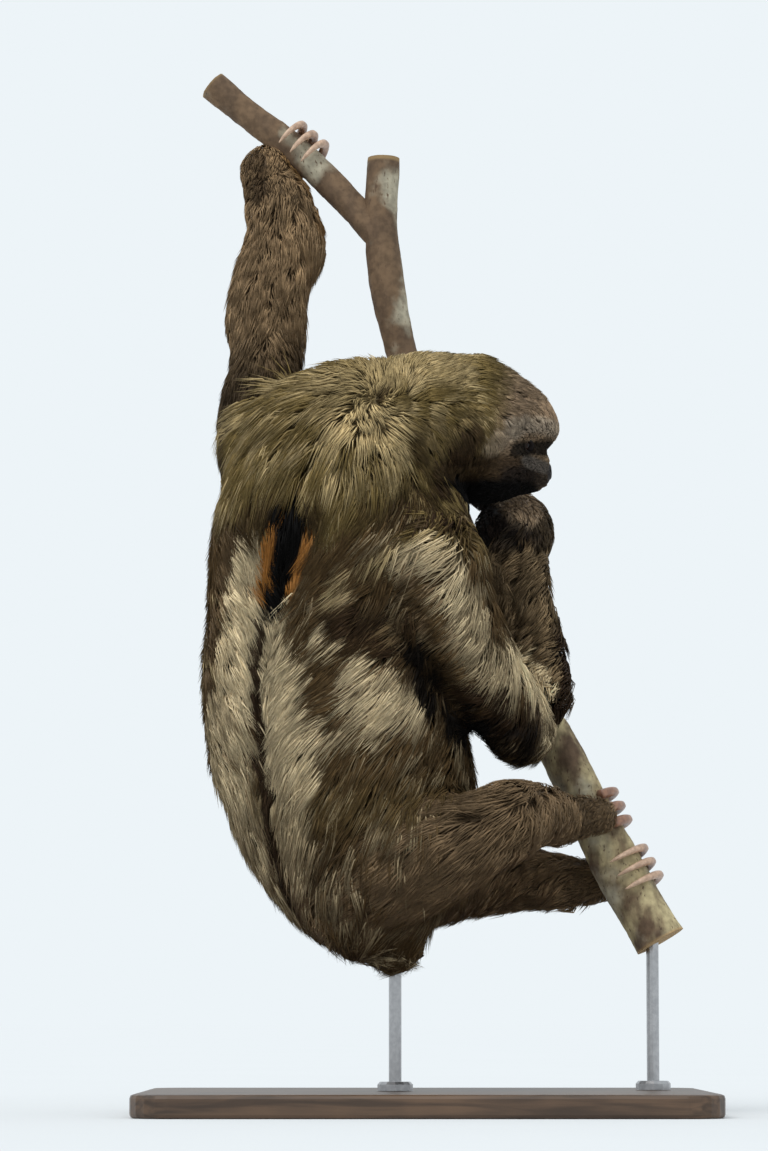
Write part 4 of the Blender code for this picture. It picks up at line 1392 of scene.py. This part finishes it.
def eye_material():
    """A wet ball in its own colours."""
    return mottled("eye_wet", 0.08, 0.14, "eye_colour", 0.0012, 0.3)[0]


def build_eyes():
    """Two balls with a low cornea: a sphere whose radius grows by a bell curve round the gaze."""
    horn = bpy.context.scene.sloth_horn
    made = eye_material()
    for name, side in (("eye_L", 1), ("eye_R", -1)):
        centre = node_centre(name)
        gaze = unit(head_way(EYE_ANGLE, side * EYE_SIDE) + (0, 0, 0.12))
        across = unit(np.cross(gaze, np.array([0, 0, 1.0])))
        lean = np.arange(1, EYE_ROWS) / EYE_ROWS * math.pi
        way = spin(lean[:, None], gaze, spin(full_turn(EYE_SIDES), across, np.cross(across, gaze)))
        radius = horn.eye_radius * (EYE_BACK + (1 - EYE_BACK) * bump(np.degrees(lean), 0, 26))[:, None, None]
        front, back = centre + gaze * horn.eye_radius, centre - gaze * horn.eye_radius * EYE_BACK
        piece = closed_tube("ball_" + name, centre + way * radius, front, back, made)
        off = np.degrees(np.arccos(np.clip(unit(piece_points(piece)[0] - centre) @ gaze, -1, 1)))
        shade = np.tile(np.array(horn.iris), (len(off), 1))
        for colour, on in ((PUPIL, 1 - ramp(off, 13, 17)), (EYE_WHITE, ramp(off, 44, 52))):
            shade = mix(shade, colour, on)
        set_colour(piece, "eye_colour", shade)
        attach(piece, "root")
        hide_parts(name)


STEM = [  # centre and radius, from the sawn top of the stem to its sawn foot
    (-0.0330, 0.104, 0.7880, 0.0125),
    (-0.0350, 0.102, 0.7300, 0.0140),
    (-0.0290, 0.101, 0.6720, 0.0138),
    (-0.0140, 0.099, 0.6080, 0.0138),
    (0.0034, 0.096, 0.5440, 0.0140),
    (0.0256, 0.091, 0.4800, 0.0142),
    (0.0540, 0.084, 0.4080, 0.0148),
    (0.0816, 0.077, 0.3440, 0.0158),
    (0.1080, 0.070, 0.2960, 0.0170),
    (0.1420, 0.061, 0.2240, 0.0188),
    (0.1720, 0.053, 0.1680, 0.0206),
    (0.1900, 0.049, 0.1360, 0.0216),
]
SIDE_BRANCH = [  # from inside the fork up to its sawn end
    (-0.0340, 0.102, 0.7180, 0.0120),
    (-0.0680, 0.110, 0.7580, 0.0122),
    (-0.1050, 0.118, 0.7960, 0.0122),
    (-0.1440, 0.124, 0.8270, 0.0124),
    (-0.1780, 0.127, 0.8560, 0.0128),
]
CLAWS = {  # wood, height of the middle claw, where it starts round the wood, degrees, hook's radius, turn
    "hand_L": (SIDE_BRANCH, 0.7970, (0.00, 1.00, -0.10), 205, 0.0205, -1),
    "hand_R": (STEM, 0.5160, (0.60, 0.80, 0.00), 190, 0.0215, -1),
    "foot_R": (STEM, 0.2380, (0.50, -0.87, 0.00), 190, 0.0255, -1),
    "foot_L": (STEM, 0.1890, (0.35, 0.94, 0.00), 175, 0.0265, 1),
}
CLAW_SPACING = 0.0125
CLAW_ROWS, CLAW_SIDES = 44, 18


def claw_material():
    """Worn horn with fine scratches."""
    made, tree, shader = mottled("claw_horn", 0.38, 0.5, "claw_colour", 0.004, 0.28)
    relief(tree, shader, cloud_node(tree, object_place(tree), 900), 0.25, 0.0002)
    return made


def build_claws():
    """Hooks round the wood: an arc square to it, whose section is a tall oval that thins to a point."""
    horn = bpy.context.scene.sloth_horn
    made = claw_material()
    share = np.linspace(0, 1, CLAW_ROWS)
    thick = horn.claw_width * (1 - 0.72 * share**2) * np.clip((1.012 - share) * 9, 0, 1) ** 0.5
    turn = full_turn(CLAW_SIDES)
    ridge = 1 + 0.035 * np.cos(6 * turn)
    worn = ramp(np.concatenate([np.repeat(share, CLAW_SIDES), [0, 1]]), 0.1, 0.9)
    shade = mix(np.array(horn.claw_root), np.array(horn.claw_tip), worn[:, None])
    for limb, (wood, height, start, sweep, hook, turning) in CLAWS.items():
        fine = smooth_rows(wood, 12)
        near = int(np.argmin(abs(fine[:, 2] - height)))
        ahead = unit(np.gradient(fine[:, :3], axis=0))[near]
        first = unit(np.array(start) - ahead * (ahead @ np.array(start)))
        spoke = spin(np.radians(share * sweep), first, np.cross(ahead, first) * turning)
        for number, order in enumerate((-1, 0, 1), 1):
            centre = fine[near, :3] + ahead * CLAW_SPACING * order
            line = centre + (hook * (1 - 0.10 * share))[:, None] * spoke
            rings = line[:, None] + thick[:, None, None] * ridge[None, :, None] * (
                0.85 * np.cos(turn)[None, :, None] * ahead + np.sin(turn)[None, :, None] * spoke[:, None])
            name = f"claw_{limb}_{number}"
            piece = closed_tube("horn_" + name[5:], rings, line[0], line[-1], made)
            set_colour(piece, "claw_colour", shade)
            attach(piece, "root")
            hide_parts(name)


# ------------------------------------------------------------------------------- branch and stand
WOOD_ROW, WOOD_SIDES = 0.0022, 64  # distance between the bark's rings, and points in each
YEAR_RING = 0.05  # half the width of a year ring, against the sawn end's radius


def wood_tube(name, knots, spacing, sides):
    """Bark round a curved axis: rings every `spacing`, swollen by slow waves, bark ridges and knots."""
    rows = smooth_rows(knots, 24)
    along = np.concatenate([[0], np.cumsum(np.linalg.norm(np.diff(rows[:, :3], axis=0), axis=1))])
    even = np.arange(0, along[-1], spacing)
    rows = np.column_stack([np.interp(even, along, rows[:, i]) for i in range(4)])
    ahead = unit(np.gradient(rows[:, :3], axis=0))
    side = unit(np.cross(ahead, np.array([0.0, 1.0, 0.0])))
    turn = full_turn(sides)
    spoke = spin(turn, side[:, None], np.cross(ahead, side)[:, None])
    plain = (rows[:, None, :3] + rows[:, None, 3:4] * spoke).reshape(-1, 3)
    even = even[:, None]
    wave = 1 + 0.035 * np.sin(even * 61 + 1.3) + 0.03 * np.sin(2 * turn + even * 23)
    wave = wave + 0.02 * np.sin(3 * turn - even * 41)
    drawn = plain * np.array([1.0, 1.0, 0.35])
    rough = noise(drawn, 0.0045, 21) * 0.6 + noise(drawn, 0.0021, 22) * 0.4 + noise(plain, 0.03, 23) * 0.6
    ridges = bpy.context.scene.sloth_branch.bark_height * rough.reshape(len(rows), sides)
    reach = rows[:, 3][:, None] * wave * 0.985 + ridges
    return closed_tube(name, rows[:, None, :3] + reach[..., None] * spoke, rows[0, :3], rows[-1, :3])


def bark_material():
    """Blotched bark, paler low down, with pale patches and dark specks. Sawn ends have year rings."""
    look = bpy.context.scene.sloth_branch
    made, tree, shader = principled("bark", 0.84, 0.2)
    place, drawn = object_place(tree), object_place(tree, (1, 1, 0.45))
    height = add_node(tree, "SeparateXYZ", {"Vector": place}).outputs["Z"]
    blotch = cloud_node(tree, drawn, 48, 6)
    patches = cloud_node(tree, place, 24, 8)
    specks = cloud_node(tree, drawn, 420, 2)
    bark = blend_node(tree, ramp_node(tree, 0.27, 0.46, height), look.low_bark, look.bark)
    bark = blend_node(tree, ramp_node(tree, 0.36, 0.62, blotch), look.crack, bark)
    bark = blend_node(tree, ramp_node(tree, 0.52, 0.70, patches), bark, look.lichen)
    bark = blend_node(tree, ramp_node(tree, 0.60, 0.72, specks), bark, look.crack)
    bark = soft_mottle(tree, bark, 0.006, 0.22)
    cut = add_node(tree, "SeparateColor", {"Color": stored_colour(tree, "cut_end")})
    rings = add_node(tree, "Math", {0: cut.outputs["Green"], 1: YEAR_RING}, operation="PINGPONG")
    late_wood = [0.55 * c for c in look.wood]
    wood = blend_node(tree, ramp_node(tree, 0.0, YEAR_RING, rings.outputs[0]), late_wood, look.wood)
    tree.links.new(blend_node(tree, cut.outputs["Red"], bark, wood), shader.inputs["Base Color"])
    relief(tree, shader, specks, 0.4, 0.0005)
    return made


def build_branch():
    """The forked, sawn length of branch, in one closed surface."""
    stem = wood_tube("bark_branch", STEM, WOOD_ROW, WOOD_SIDES)
    piece = dressed(joined(stem, wood_tube("bark_arm", SIDE_BRANCH, WOOD_ROW, WOOD_SIDES)), bark_material())
    piece.data.set_sharp_from_angle(angle=math.radians(60))
    points = piece_points(piece)[0]
    ends, reach = np.zeros(len(points)), np.zeros(len(points))
    for tip, inner in ((STEM[0], STEM[1]), (STEM[-1], STEM[-2]), (SIDE_BRANCH[-1], SIDE_BRANCH[-2])):
        middle, radius = np.array(tip[:3]), tip[3]
        out = unit(middle - np.array(inner[:3]))
        away = away_from(points, middle)
        near = away < radius * 1.3
        ends = np.maximum(ends, near * ramp((points - middle) @ out, -0.0030, -0.0022))
        reach = np.where(near, away / radius, reach)
    set_colour(piece, "cut_end", np.column_stack([ends, np.clip(reach, 0, 1), ends * 0]))
    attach(piece, "root")
    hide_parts("branch")


def board_material():
    """Dark stained board with a long grain."""
    look = bpy.context.scene.sloth_branch
    made, tree, shader = principled("stained_board", 0.42, 0.45)
    grain = cloud_node(tree, object_place(tree, (3, 42, 42)), 3.2, 6, 0.6)
    dark = [0.45 * c for c in look.board]
    stain = blend_node(tree, ramp_node(tree, 0.35, 0.65, grain), dark, look.board)
    tree.links.new(soft_mottle(tree, stain, 0.05, 0.15), shader.inputs["Base Color"])
    relief(tree, shader, grain, 0.12, 0.0004)
    return made


def steel_material():
    """Satin steel, a little uneven."""
    return mottled("satin_steel", 0.34, 0.5, (0.42, 0.42, 0.43, 1), 0.004, 0.12, 1.0)[0]


def finish_stand():
    """Wood for the board and steel for the rods, on the CAD nodes themselves."""
    board, steel = board_material(), steel_material()
    for name, made in (("stand_base", board), ("stand_rod_stem", steel), ("stand_rod_body", steel)):
        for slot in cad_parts[name].material_slots:
            slot.material = made


# ------------------------------------------------------------------------------- stage
CAMERA_AIM = np.array([-0.0328, 0.0, 0.4276])
CAMERA_DISTANCE, CAMERA_RISE = 3.4, math.radians(6)  # the view looks up by this angle
CAMERA_LENS = 132.9
FLOOR_RADIUS, FLOOR_SIDES = 60, 64
SKY = linear(237, 244, 248)
SUN = 1.5  # strength of the soft light from above


def build_stage():
    """A pale floor as bright as the even pale sky, one broad soft light from above, and the camera.

    The floor's reflectance is sky / (sky + share of the lamp's light), so that both look the same.
    """
    scene = bpy.context.scene
    lamp = bpy.data.lights.new("overhead", "SUN")
    lamp.energy = SUN
    lamp.angle = math.radians(50)
    light = bpy.data.objects.new("overhead", lamp)
    lean = Vector((0.35, 0.55, -1.0)).normalized()
    light.rotation_euler = lean.to_track_quat("-Z", "Y").to_euler()
    scene.collection.objects.link(light)

    grey = SKY / (SKY + SUN * -lean.z / math.pi)
    made = mottled("pale_floor", 1.0, 0.0, (*grey, 1), 0.4, 0.006)[0]
    ring = np.arange(FLOOR_SIDES)
    rim = FLOOR_RADIUS * spin(full_turn(FLOOR_SIDES), np.array([1.0, 0, 0]), np.array([0, 1.0, 0]))
    faces = np.column_stack([ring, (ring + 1) % FLOOR_SIDES, np.full(FLOOR_SIDES, FLOOR_SIDES)])
    floor = new_piece("floor", np.vstack([rim, [0, 0, 0]]), faces, made)

    world = bpy.data.worlds.new("pale_sky")
    world.use_nodes = True
    sky = world.node_tree.nodes["Background"]
    sky.inputs["Color"].default_value = (*SKY, 1)
    sky.inputs["Strength"].default_value = 1.0
    scene.world = world
    scene.view_settings.view_transform = "Standard"

    lens = bpy.data.cameras.new("camera")
    lens.lens = CAMERA_LENS
    lens.sensor_width = 36
    camera = bpy.data.objects.new("camera", lens)
    view = Vector((0, math.cos(CAMERA_RISE), math.sin(CAMERA_RISE)))
    camera.location = Vector(CAMERA_AIM) - view * CAMERA_DISTANCE
    camera.rotation_euler = view.to_track_quat("-Z", "Y").to_euler()
    scene.collection.objects.link(camera)
    scene.camera = camera


# ------------------------------------------------------------------------------- operators
class SLOTH_OT_stage(bpy.types.Operator):
    """Adds the floor, sky, light and camera"""

    bl_idname = "sloth.stage"
    bl_label = "Stage"

    def execute(self, context):
        build_stage()
        return {"FINISHED"}


class SLOTH_OT_animal(bpy.types.Operator):
    """Makes the one skin of the animal and grows its coat"""

    bl_idname = "sloth.animal"
    bl_label = "Skin and coat"

    def execute(self, context):
        body = Body()
        build_coat(body, build_skin(body))
        return {"FINISHED"}


class SLOTH_OT_eyes(bpy.types.Operator):
    """Sets the two eyes in their lids"""

    bl_idname = "sloth.eyes"
    bl_label = "Eyes"

    def execute(self, context):
        build_eyes()
        return {"FINISHED"}


class SLOTH_OT_claws(bpy.types.Operator):
    """Hooks twelve claws round the wood"""

    bl_idname = "sloth.claws"
    bl_label = "Claws"

    def execute(self, context):
        build_claws()
        return {"FINISHED"}


class SLOTH_OT_branch(bpy.types.Operator):
    """Makes the forked branch with its bark"""

    bl_idname = "sloth.branch"
    bl_label = "Branch"

    def execute(self, context):
        build_branch()
        return {"FINISHED"}


class SLOTH_OT_stand(bpy.types.Operator):
    """Finishes the board and rods of the stand"""

    bl_idname = "sloth.stand"
    bl_label = "Stand"

    def execute(self, context):
        finish_stand()
        return {"FINISHED"}


OPERATORS = (SLOTH_OT_stage, SLOTH_OT_branch, SLOTH_OT_stand, SLOTH_OT_claws, SLOTH_OT_eyes, SLOTH_OT_animal)


class SLOTH_PT_panel(bpy.types.Panel):
    """Lists the pieces and their settings"""

    bl_idname = "SLOTH_PT_panel"
    bl_label = "Sloth"
    bl_space_type = "VIEW_3D"
    bl_region_type = "UI"
    bl_category = "Sloth"

    def draw(self, context):
        for operator in OPERATORS:
            self.layout.operator(operator.bl_idname)
        for group in ("sloth_coat", "sloth_horn", "sloth_branch"):
            settings = getattr(context.scene, group)
            box = self.layout.box()
            for name in settings.__annotations__:
                box.prop(settings, name)


GROUPS = {"sloth_coat": SlothCoat, "sloth_horn": SlothHorn, "sloth_branch": SlothBranch}


def register():
    """Makes the operators, the panel and what a user sets known to Blender."""
    for kind in (*GROUPS.values(), *OPERATORS, SLOTH_PT_panel):
        bpy.utils.register_class(kind)
    for name, kind in GROUPS.items():
        setattr(bpy.types.Scene, name, PointerProperty(type=kind))


def unregister():
    """Takes them out again."""
    for name in GROUPS:
        delattr(bpy.types.Scene, name)
    for kind in reversed((*GROUPS.values(), *OPERATORS, SLOTH_PT_panel)):
        bpy.utils.unregister_class(kind)


def main():
    """Builds all the pieces in their order."""
    register()
    bpy.ops.sloth.stage()
    bpy.ops.sloth.branch()
    bpy.ops.sloth.stand()
    bpy.ops.sloth.claws()
    bpy.ops.sloth.eyes()
    bpy.ops.sloth.animal()


if __name__ == "__main__":
    main()
